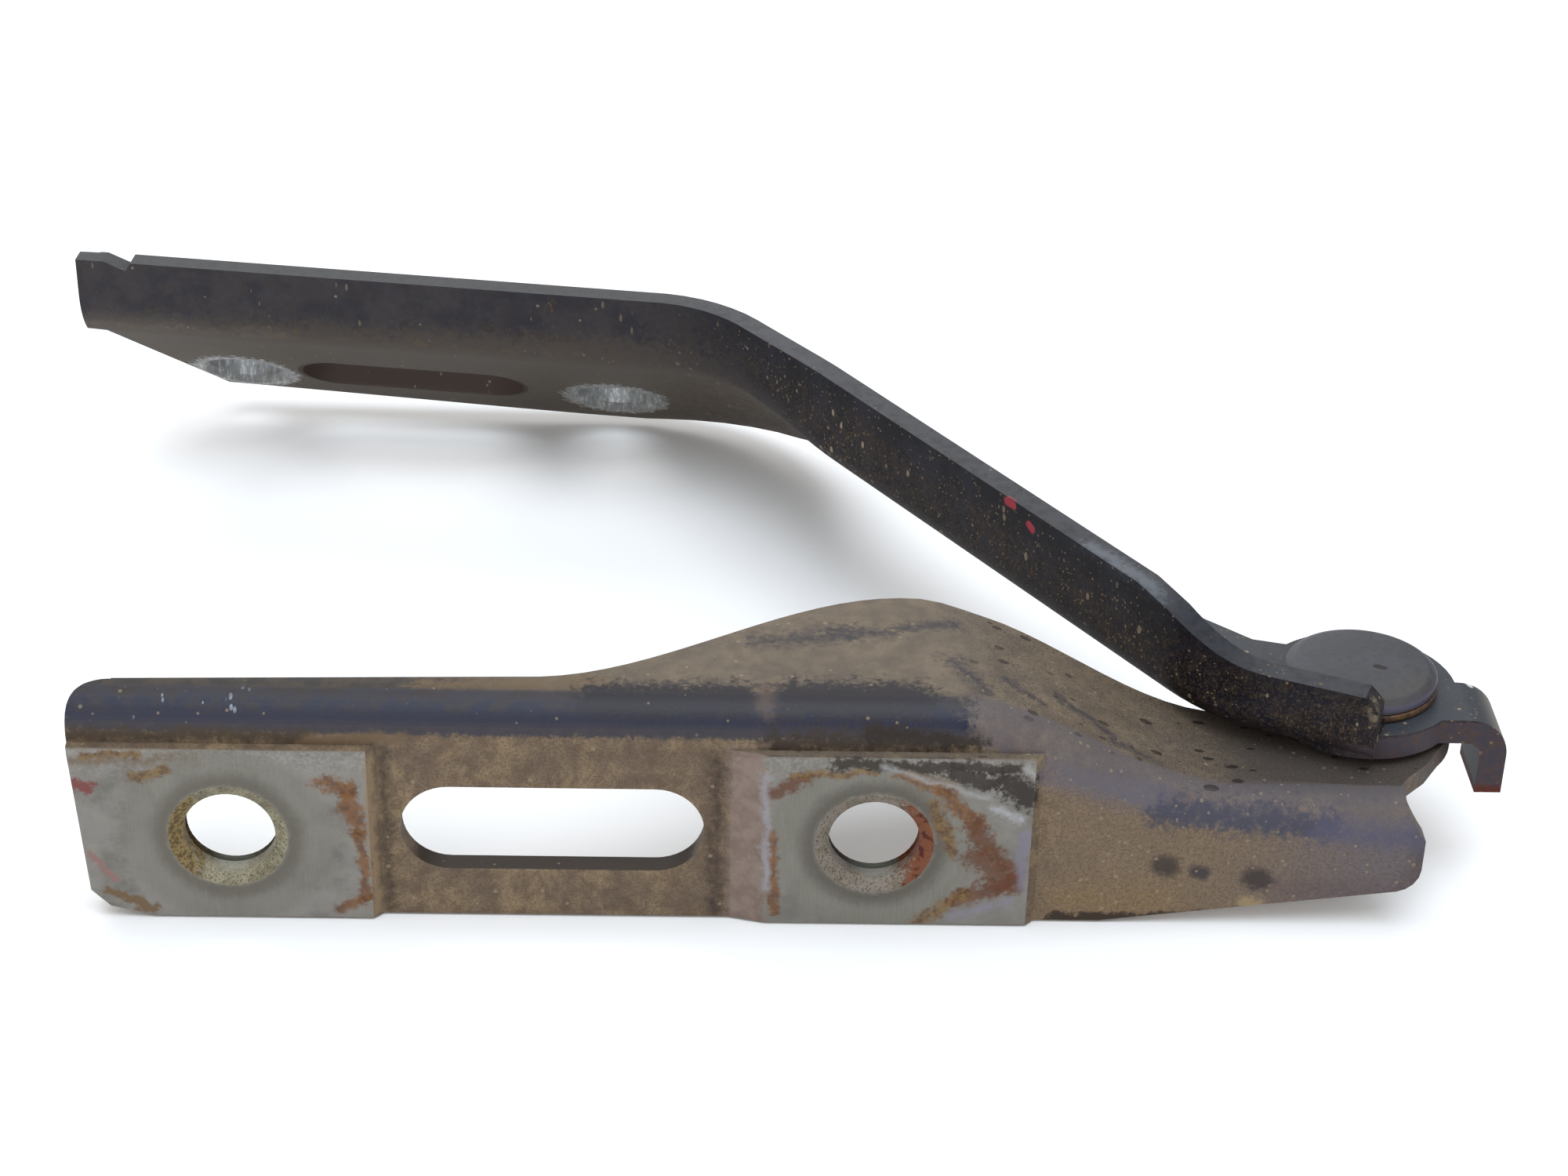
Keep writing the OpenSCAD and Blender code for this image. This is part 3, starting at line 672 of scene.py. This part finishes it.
dirt.lay(dirt.both(rusty_bore, dirt.group(film_group, Scale=0.9, Low=0.48, High=0.58)), tint(78, 28, 20))
yellow_bore = dirt.both(dirt.less(dirt.step(from_hole(dirt, -HOLE_X, 0.0), *BORE_EDGE)),
                        dirt.less(dirt.step(dirt.worn_x, -HOLE_X - 4.4, -HOLE_X - 2.6)))
dirt.lay(yellow_bore, tint(138, 114, 62), strength=0.75)
dirt.lay(dirt.both(yellow_bore, dirt.fine), tint(74, 58, 36), strength=0.8)
slot_floor = dirt.both(dirt.step(dirt.face_z, 0.2, 0.7), dirt.less(dirt.step(dirt.z, -3.5, -2.0)),
                       dirt.less(dirt.step(dirt.x, 18.0, 19.0)), dirt.step(dirt.x, -19.0, -18.0))
dirt.lay(slot_floor, tint(52, 42, 34))

# %% Body leaf: rust and grime on the pads
RUST, DEEP_RUST, OCHRE = tint(128, 84, 42), tint(104, 62, 40), tint(132, 106, 66)
for start, end, width, tone in (
        ((-44.4, 7.6), (-41.0, 8.6), 0.9, OCHRE), ((-24.6, 7.2), (-21.8, 6.4), 1.2, RUST),
        ((-22.0, 5.6), (-20.8, 1.0), 1.1, RUST), ((-21.0, 1.0), (-20.6, -8.0), 0.7, RUST),
        ((-20.8, -8.2), (-23.4, -9.4), 0.8, RUST), ((23.8, 6.6), (27.4, 8.4), 1.0, DEEP_RUST),
        ((26, 8.8), (35, 9.3), 0.55, OCHRE), ((23.5, 1.0), (24.4, -9.4), 0.7, RUST),
        ((38.0, 9.3), (43.2, 7.2), 1.2, RUST), ((42.2, 6.8), (46.2, 2.4), 1.1, RUST),
        ((45.6, 2.4), (50.4, -3.6), 1.5, DEEP_RUST), ((46.4, -1.6), (49.4, -4.8), 2.0, DEEP_RUST),
        ((50.2, -4.8), (44.6, -7.2), 1.4, DEEP_RUST), ((45.2, -6.6), (40.0, -10.2), 1.1, OCHRE),
        ((41.2, 5.2), (43.6, -1.0), 0.8, OCHRE), ((-50.0, 10.2), (-44, 10.6), 0.6, OCHRE)):
    smear = dirt.both(on_pad, dirt.stroke(start, end, width, soft=0.8))
    dirt.lay(smear, dirt.mix(dirt.cored, tone, tint(92, 58, 36)), strength=0.8)
for start, end, width, tone in (
        ((49.2, 8.0), (51.4, 6.8), 1.9, tint(44, 36, 33)), ((43.6, 9.2), (47.4, 8.0), 1.1, tint(54, 46, 41)),
        ((30.5, 10.4), (50.5, 10.0), 0.8, tint(52, 44, 38)),
        ((-51.0, 6.9), (-49.4, 6.2), 0.8, tint(126, 66, 64)),
        ((-50.4, -2.4), (-47.6, -5.8), 0.4, tint(146, 112, 108)),
        ((-48, -7.6), (-44, -9.6), 0.7, tint(116, 92, 66))):
    dirt.lay(dirt.both(raised, dirt.stroke(start, end, width, ragged=3.6, soft=0.6)), tone, strength=0.9)
for start, end, width, tone in (
        ((47.8, 4.7), (50.8, 3.4), 0.8, tint(176, 178, 182)),
        ((51.2, 10.2), (52.2, 8.8), 0.7, tint(170, 168, 164)),
        ((23.0, 9.0), (23.2, -6.0), 0.6, tint(156, 154, 160)),
        ((36, 10.2), (47.0, 6.2), 0.6, tint(160, 160, 158)),
        ((51.4, 1.6), (51.2, -5.0), 0.9, tint(128, 124, 142)),
        ((44, -9.6), (50, -7.4), 0.9, tint(136, 132, 144))):
    dirt.lay(dirt.both(on_pad, dirt.stroke(start, end, width, soft=1.1)), tone, strength=0.75)

# %% Body leaf: greasy spots and chips
for spot, width, tone in (((66.8, -3.0), 2.0, tint(56, 48, 46)), ((70.6, -3.8), 1.4, tint(54, 50, 56)),
                          ((77.0, -4.6), 2.1, tint(54, 46, 48))):
    beside = (spot[0] + 0.6, spot[1] - 0.3)
    dirt.lay(dirt.both(dirt.forward, dirt.stroke(spot, beside, width, ragged=1.4, soft=0.7)),
             tone, strength=0.85)
dirt.lay(dirt.both(dirt.forward, dirt.stroke((76.4, -7.7), (77.6, -8.5), 0.9, soft=0.8)), tint(150, 132, 100))
dirt.lay(dirt.both(dirt.forward, dirt.stroke((55, -10.4), (72, -10.0), 0.8, ragged=3.0)), tint(60, 48, 38))
speck = dirt.group(fleck_group, Spacing=1.4, Size=0.16, Share=0.5)
dirt.lay(dirt.both(speck, dirt.less(on_pad)), tint(152, 138, 114), strength=0.55)
pale = dirt.both(dirt.group(fleck_group, Spacing=0.9, Size=0.2, Share=0.4),
                 dirt.step(dirt.worn_x, 44.0, 56.0), dirt.less(on_pad))
dirt.lay(pale, tint(148, 134, 112), strength=0.6)
worn_rim = dirt.both(dirt.rim, dirt.step(dirt.core, 0.48, 0.62))
dirt.lay(worn_rim, tint(120, 108, 94), strength=0.45)
dirt.dry_where_brown(0.68)
dirt.raise_by(dirt.cloud(2.4, 6.0, 0.7), 1.0)
dirt.raise_by(dirt.both(on_pad, brushing), 0.5)
flange_coat = dirt.done(0.07, 0.6)
print("flange layers:", len(dirt.tree.nodes), "nodes")

# %% [markdown]
# ## The body leaf: which finish goes where
# A single finish with the film, the web's stains and the flange's rust rendered black, so the
# leaf has two. Both start from the same film and the same band. The flange's finish covers
# the faces that look straight ahead and the walls of the holes and the slot.

# %% Body leaf: one finish for the flange, one for the rest
STRAIGHT_AHEAD = -0.97
FOLD_STARTS_Z, FRONT_Y = 11.4, 0.05
HOLES_X, HOLES_Z, BACK_Y = 45, 9, 2.45


def on_flange(centre, normal):
    in_front = normal.y < STRAIGHT_AHEAD or (centre.z < FOLD_STARTS_Z and centre.y < FRONT_Y)
    return in_front or (abs(centre.x) < HOLES_X and abs(centre.z) < HOLES_Z and centre.y < BACK_Y)


leaf_mesh = body_leaf.data
leaf_mesh.materials.append(web_coat)
leaf_mesh.materials.append(flange_coat)
finish_of = [int(on_flange(p.center / MM, p.normal)) for p in leaf_mesh.polygons]
leaf_mesh.polygons.foreach_set("material_index", finish_of)
print("flange faces:", sum(finish_of))

# %% [markdown]
# ## The bonnet leaf: satin black paint
# This leaf kept its paint. It is a blue-black satin coat, dusty brown along its lower fold and
# on the strap's flange, and worn bright only where bolts and fingers touched it. The top cut
# edge of the wall is greyed partly by handling and partly by a painted reflection of the
# overhead light, and the ear's top carries the same painted reflection. The dirt on the arm
# comes as crowds of tiny flecks, so it is two sizes of flecks let through by one slow cloud,
# rather than painted patches.

# %% Bonnet leaf: the coat and its dust
coat = Finish("bonnet_leaf_paint", tint(21, 19, 25), 0.5, specular=0.12)
coat_x, coat_z = coat.facing[0], coat.facing[2]
downward = sum_node(coat.tree, "MULTIPLY", coat_z, -1.0)
arm_side = coat.step(coat.worn_x, 4.0, 26.0)
strap_side = coat.less(arm_side)
cloudy = coat.group(film_group, Scale=0.22, Low=0.42, High=0.62)
dusting = coat.group(film_group, Scale=0.8, Low=0.42, High=0.66)
grainy = coat.group(film_group, Scale=3.2, Low=0.5, High=0.62)
coat.lay(strap_side, tint(64, 61, 64), 0.5)
coat.lay(cloudy, tint(34, 35, 48), 0.42, strength=0.5)
coat.lay(coat.both(strap_side, dusting), tint(60, 55, 52), 0.55, strength=0.6)
low_dust = coat.less(coat.step(sum_node(coat.tree, "ADD", coat.z,
                                        sum_node(coat.tree, "MULTIPLY", coat.ragged, 12.0)), 10.0, 15.0))
coat.lay(coat.both(strap_side, low_dust), tint(84, 76, 69), 0.62, strength=0.75)
coat.lay(coat.both(coat.stroke((-66, 10.0), (-42, 8.8), 3.0, FRONT, 2.6, 1.4), strap_side),
         tint(118, 108, 98), 0.64, strength=0.7)
coat.lay(coat.both(coat.stroke((-46, 10.5), (2, 9.5), 3.0, FRONT, 3.4, 1.4), strap_side, dusting),
         tint(102, 86, 68), 0.62, strength=0.6)
leaning = coat.both(coat.step(downward, 0.45, 0.72), coat.less(coat.step(coat.x, 26.0, 34.0)))
coat.lay(leaning, tint(84, 77, 71), 0.6)
coat.lay(coat.both(leaning, dusting), tint(86, 77, 67), 0.62, strength=0.6)
coat.lay(coat.both(leaning, coat.stroke((9, -8), (26, 4), 6.0, FRONT, 2.0, 1.4)),
         tint(94, 84, 74), 0.6, strength=0.7)
worn_z = sum_node(coat.tree, "ADD", coat.z, coat.shift)
arm_low = coat.both(arm_side, coat.less(coat.step(worn_z, 13.0, 19.0)))
coat.lay(coat.both(arm_low, dusting), tint(58, 50, 44), 0.62, strength=0.7)
coat.lay(coat.both(arm_low, grainy), tint(88, 72, 56), 0.66, strength=0.5)

# %% Bonnet leaf: worn top edge and ear top with painted sheen, and rubbed places
# The top cut edge: partly grey wear from handling, partly a painted reflection of the overhead light.
top_edge_wear_and_sheen = coat.both(coat.step(coat_z, 0.7, 0.95), coat.step(coat.z, 14.2, 15.0))
coat.lay(top_edge_wear_and_sheen, tint(58, 60, 66), 0.42, strength=0.85)
coat.lay(coat.both(top_edge_wear_and_sheen, dusting), tint(40, 41, 46), 0.5, strength=0.7)
coat.lay(coat.both(top_edge_wear_and_sheen, strap_side), tint(48, 50, 52), 0.45, strength=0.6)
edge_wear = coat.both(coat.rim, coat.step(coat.core, 0.5, 0.62))
coat.lay(edge_wear, tint(96, 94, 96), 0.38, strength=0.4)
rubbed = coat.both(coat.stroke((67.8, 19.5, 19.6), (60, 31, 19.6), 1.5, ALL, 2.2, 1.0),
                   coat.step(coat_z, -0.2, 0.4))
coat.lay(rubbed, tint(92, 97, 106), 0.34, strength=0.85)
corner = coat.stroke((PIVOT_X - 0.5, PIVOT_Y - 13.2, 12.8), (PIVOT_X - 0.9, PIVOT_Y - 12.0, 14.8),
                     0.8, ALL, 3.6, 1.0)
coat.lay(coat.both(corner, coat.step(coat.core, 0.4, 0.6)), tint(130, 116, 100), 0.5, strength=0.75)
# Painted reflection: the ear's top face greyed by the overhead light.
ear_top_sheen = coat.both(coat.step(coat_z, 0.7, 0.95), coat.less(coat.step(coat.z, 13.4, 14.2)),
                    coat.step(coat.x, 60.0, 66.0))
coat.lay(ear_top_sheen, tint(68, 71, 76), 0.46, strength=0.92)
coat.lay(coat.both(ear_top_sheen, cloudy), tint(58, 61, 68), 0.42, strength=0.6)
cut_violet = coat.both(coat.step(coat.x, 84.0, 90.0), coat.less(coat.step(coat_z, 0.3, 0.6)),
                       coat.less(coat.step(coat.z, 9.0, 9.6)))
coat.lay(cut_violet, tint(70, 64, 74), 0.46, strength=0.85)
coat.lay(coat.both(cut_violet, dusting), tint(86, 66, 52), 0.6, strength=0.6)

# %% Bonnet leaf: the stop tab
tab_outer = coat.both(coat.step(coat_x, 0.35, 0.75), coat.step(coat.x, 102.0, 103.0))
coat.lay(tab_outer, tint(104, 102, 94), 0.45, strength=0.75)
tab_inner = coat.both(coat.step(sum_node(coat.tree, "MULTIPLY", coat_x, -1.0), 0.3, 0.7),
                      coat.step(coat.x, 98.0, 100.0))
coat.lay(tab_inner, tint(46, 45, 54), 0.45)
tab_end = coat.both(coat.step(coat.x, 100.0, 101.0), coat.less(coat.step(coat.z, 0.4, 1.4)))
coat.lay(tab_end, tint(88, 44, 36), 0.6)
chip = coat.both(coat.stroke((102.4, 18.6), (102.6, 18.2), 0.45, TOP, 1.0, 0.5), coat.step(coat_z, 0.3, 0.6))
coat.lay(chip, tint(210, 210, 208), 0.4)

# %% Bonnet leaf: bare bolt seats and slot
seats = [mount for mount in frame["record"]["mounts"] if mount["name"].startswith("bonnet_bolt")]
for seat in seats:
    centre = tuple(v / MM for v in seat["pos_m"])
    beside = (centre[0] + 0.1, centre[1], centre[2])
    dusty = coat.both(coat.stroke(centre, beside, 10.4, ALL, 2.2, 0.5), coat.step(downward, -0.3, 0.2))
    coat.lay(dusty, tint(92, 84, 74), 0.58, strength=0.6)
    near = coat.stroke(centre, beside, 8.0, ALL, 0.8, 0.12)
    coat.lay(near, tint(134, 136, 136), 0.34, 0.3)
    # Painted highlight: bright thread-like glints in the bare seats.
    seat_glint_lines = coat.group(brush_group, "Height", Lines=(2.2, 0.5, 0.5), Strength=1.0)
    coat.lay(coat.both(near, coat.step(seat_glint_lines, 0.5, 0.6)), tint(196, 198, 198), 0.26, strength=0.6)
    coat.lay(coat.both(near, dusting), tint(104, 100, 92), 0.45, strength=0.5)
slot_wall = coat.both(coat.stroke((-36.0, 113.0, 0.4), (-14.5, 111.5, -0.3), 5.7, ALL, 0.0, 0.06),
                      strap_side)
coat.lay(slot_wall, tint(60, 49, 44), 0.6)

# %% Bonnet leaf: flecks, rust spots and paint splashes
crowd = coat.both(arm_side, coat.group(film_group, Scale=0.13, Low=0.44, High=0.58),
                  coat.less(coat.step(worn_z, 15.0, 19.5)))
small = coat.both(coat.group(fleck_group, Spacing=0.75, Size=0.24, Share=0.5), crowd)
large = coat.both(coat.group(fleck_group, Spacing=1.3, Stretch=(1.0, 1.0, 0.6), Size=0.22, Share=0.45),
                  crowd)
coat.lay(small, tint(126, 104, 82), 0.62, strength=0.8)
coat.lay(large, tint(160, 142, 118), 0.62, strength=0.85)
sparse = coat.group(fleck_group, Spacing=1.9, Size=0.12, Share=0.5)
coat.lay(sparse, tint(138, 124, 104), 0.6, strength=0.75)
dashes = coat.both(coat.group(fleck_group, Spacing=1.3, Stretch=(1.0, 1.0, 0.35), Size=0.15, Share=0.4),
                   strap_side, coat.less(leaning))
coat.lay(dashes, tint(120, 108, 90), 0.6, strength=0.75)
threads = coat.group(fleck_group, Spacing=0.35, Stretch=(1.4, 1.4, 0.5), Size=0.35, Share=0.6)
for start, end, width, tone in (
        ((-5.4, 18.4), (-4.6, 16.8), 1.0, tint(140, 106, 58)),
        ((-50.8, 12.8), (-48.6, 12.0), 0.9, tint(116, 92, 74)),
        ((34.6, 16.8), (37.4, 14.4), 1.7, tint(122, 88, 58)),
        ((48.6, 14.5), (52.0, 11.0), 1.9, tint(128, 102, 76)),
        ((60, 12.5), (67, 10.5), 2.0, tint(128, 108, 84)),
        ((-14.0, 13.8), (-2.0, 12.6), 1.2, tint(100, 80, 60)),
        ((72, 7.6), (75, 7.2), 0.6, tint(120, 74, 50)), ((80, 11.0), (87, 10.0), 2.0, tint(112, 96, 80))):
    place = coat.both(coat.stroke(start, end, width, FRONT, 4.0, 1.6), coat.step(coat.z, 5.0, 6.0))
    coat.lay(coat.both(place, threads), tone, 0.65, strength=0.85)
    coat.lay(place, tint(66, 54, 46), 0.65, strength=0.3)
for start, end, width in (
        ((51.6, 42.4, 18.9), (52.2, 41.5, 18.9), 0.72), ((53.9, 38.9, 17.7), (54.3, 38.4, 17.4), 0.66),
        ((50.0, 45.0, 20.4), (50.4, 44.4, 20.4), 0.34)):
    coat.lay(coat.stroke(start, end, width, ALL, 1.0, 0.4), tint(160, 46, 58), 0.4)
coat.raise_by(coat.cloud(1.8, 5.0, 0.65), 0.7)
coat.raise_by(large, 1.4)
coat.raise_by(small, 0.9)
coat.raise_by(dashes, 0.8)
bonnet_leaf.data.materials.append(coat.done(0.06, 0.55))
print("bonnet leaf layers:", len(coat.tree.nodes), "nodes")

# %% [markdown]
# ## The rivet, the bush and the washers
# The rivet's head is dull grey steel, pressed smooth, with a few dark pits and a painted violet
# highlight on its rounded rim. Under it a thin bronze-coloured flange shows as a brown crescent.
# The washers between and under the ears hardly show, but they are plain zinc-grey steel.

# %% Finish the pivot pieces
steel = Finish("rivet_steel", tint(62, 63, 66), 0.46, 0.0, specular=0.2)
steel.lay(steel.group(film_group, Scale=0.25, Low=0.42, High=0.62), tint(70, 70, 76), 0.5)
steel.lay(steel.group(film_group, Scale=1.6, Low=0.46, High=0.64), tint(54, 54, 56), 0.5, strength=0.5)
steel.lay(steel.stroke((90, 9), (96, 14), 3.0, TOP, 2.0, 1.4), tint(90, 82, 74), 0.5, strength=0.5)
# Painted highlight: a violet gleam on the head's rounded rim.
rim_highlight = steel.less(steel.step(steel.facing[2], 0.55, 0.93))
steel.lay(rim_highlight, tint(86, 82, 98), 0.4, strength=0.85)
for start, end, width in (((87.2, 13.1), (87.4, 12.3), 0.442), ((84.0, 11.1), (85.3, 10.9), 0.65),
                          ((91.5, 17.2), (92.3, 16.9), 0.52), ((83.6, 15.8), (84.0, 15.6), 0.286)):
    hollow = steel.stroke(start, end, width, TOP, 1.5, 0.5)
    steel.lay(hollow, tint(44, 38, 38), 0.6)
    steel.raise_by(hollow, -1.5)
steel.raise_by(steel.cloud(1.2, 4.0, 0.6), 0.5)
rivet.data.materials.append(steel.done(0.08, 0.4))

bronze = Finish("bush_bronze", tint(112, 82, 52), 0.5, 0.2)
bronze.lay(bronze.group(film_group, Scale=0.7, Low=0.42, High=0.6), tint(78, 58, 44), 0.6)
bronze.lay(bronze.group(fleck_group, Spacing=0.9, Size=0.25, Share=0.5), tint(140, 104, 58), strength=0.6)
bronze.raise_by(bronze.cloud(3.0, 4.0, 0.6), 1.0)
bush.data.materials.append(bronze.done(0.05, 0.5))

zinc = Finish("washer_zinc", tint(104, 104, 108), 0.44, 0.3)
zinc.lay(zinc.group(film_group, Scale=0.8, Low=0.45, High=0.62), tint(88, 78, 66), 0.6)
zinc.lay(zinc.group(fleck_group, Spacing=1.4, Size=0.22, Share=0.4), tint(104, 66, 42), 0.6, strength=0.7)
zinc.raise_by(zinc.cloud(2.0, 4.0, 0.6), 1.0)
zinc_coat = zinc.done(0.05, 0.5)
for ring in (spacer, tail_ring):
    ring.data.materials.append(zinc_coat)

# %% [markdown]
# ## Grit you can feel
# The rough patches on the arm are real crumbs of dried mud, not only a colour. A crumb is a
# flattened pebble of a few faces. Geometry Nodes scatter it over the faces that are marked
# as gritty, turn each crumb to the surface and give it a size of its own. The seed is fixed,
# and the result is turned into a plain mesh that rides with its leaf.

# %% Build the scatter tree


def scatter_tree(name, finish):
    tree = bpy.data.node_groups.new(name, "GeometryNodeTree")
    for socket, kind, in_out in (
            ("Surface", "NodeSocketGeometry", "INPUT"), ("Density", "NodeSocketFloat", "INPUT"),
            ("Crumb Size", "NodeSocketFloat", "INPUT"), ("Seed", "NodeSocketInt", "INPUT"),
            ("Crumbs", "NodeSocketGeometry", "OUTPUT")):
        tree.interface.new_socket(socket, in_out=in_out, socket_type=kind)
    entry, end = tree.nodes.new("NodeGroupInput"), tree.nodes.new("NodeGroupOutput")

    def add(kind, **links):
        node = tree.nodes.new(kind)
        for socket, value in links.items():
            plug(tree, value, node.inputs[socket.replace("_", " ")])
        return node

    mark = tree.nodes.new("GeometryNodeInputNamedAttribute")
    mark.data_type = "FLOAT"
    mark.inputs["Name"].default_value = "gritty"
    here = tree.nodes.new("ShaderNodeMath")
    here.operation = "MULTIPLY"
    plug(tree, mark.outputs["Attribute"], here.inputs[0])
    plug(tree, entry.outputs["Density"], here.inputs[1])
    spots = add("GeometryNodeDistributePointsOnFaces", Mesh=entry.outputs["Surface"],
                Density=here.outputs[0], Seed=entry.outputs["Seed"])
    pebble = add("GeometryNodeMeshIcoSphere", Subdivisions=1, Radius=1.0)
    size = tree.nodes.new("FunctionNodeRandomValue")
    size.data_type = "FLOAT_VECTOR"
    size.inputs[0].default_value = (0.4, 0.4, 0.16)
    size.inputs[1].default_value = (1.2, 1.0, 0.4)
    plug(tree, entry.outputs["Seed"], size.inputs["Seed"])
    grow = tree.nodes.new("ShaderNodeVectorMath")
    grow.operation = "SCALE"
    plug(tree, size.outputs[0], grow.inputs[0])
    plug(tree, entry.outputs["Crumb Size"], grow.inputs["Scale"])
    placed = add("GeometryNodeInstanceOnPoints", Points=spots.outputs["Points"],
                 Instance=pebble.outputs["Mesh"], Rotation=spots.outputs["Rotation"],
                 Scale=grow.outputs[0])
    real = add("GeometryNodeRealizeInstances", Geometry=placed.outputs["Instances"])
    dressed = add("GeometryNodeSetMaterial", Geometry=real.outputs["Geometry"])
    dressed.inputs["Material"].default_value = finish
    plug(tree, dressed.outputs["Geometry"], end.inputs["Crumbs"])
    return tree


# %% Scatter the crumbs
crumb = Finish("dried_mud", tint(146, 124, 96), 0.75, specular=0.2)
crumb.lay(crumb.cloud(2.2, 3.0, 0.6), tint(98, 78, 58))
crumb.raise_by(crumb.cloud(6.0, 3.0, 0.6), 1.0)
mud = crumb.done(0.03, 0.5)
scatter = scatter_tree("mud_crumbs", mud)


def grit_on(leaf, name, is_gritty, density, size_mm, seed, body):
    ground = leaf.data.copy()
    gritty = ground.attributes.new("gritty", "FLOAT", "FACE")
    gritty.data.foreach_set("value", [float(is_gritty(p.center / MM, p.normal))
                                      for p in ground.polygons])
    holder = bpy.data.objects.new(name + "_work", ground)
    bpy.context.scene.collection.objects.link(holder)
    scatterer = holder.modifiers.new("crumbs", "NODES")
    scatterer.node_group = scatter
    sockets = {item.name: item.identifier for item in scatter.interface.items_tree
               if item.in_out == "INPUT"}
    scatterer[sockets["Density"]] = density
    scatterer[sockets["Crumb Size"]] = size_mm * MM
    scatterer[sockets["Seed"]] = seed
    seen = bpy.context.evaluated_depsgraph_get()
    mesh = bpy.data.meshes.new_from_object(holder.evaluated_get(seen), depsgraph=seen)
    bpy.data.objects.remove(holder)
    mesh.name = name
    piece = bpy.data.objects.new(name, mesh)
    bpy.context.scene.collection.objects.link(piece)
    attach(piece, body)
    print(name, len(mesh.polygons) // 20, "crumbs")
    return piece


def on_arm_wall(centre, normal):
    return 25 < centre.x < 76 and normal.y < -0.3 and normal.x < -0.5 and 8 < centre.z < 19


def on_web(centre, normal):
    return 8 < centre.x < 70 and normal.z > 0.8 and centre.z > 6


grit_on(bonnet_leaf, "arm_crumbs", on_arm_wall, 420000, 0.16, 7, "bonnet_side")
grit_on(body_leaf, "web_crumbs", on_web, 60000, 0.13, 11, "body_side")
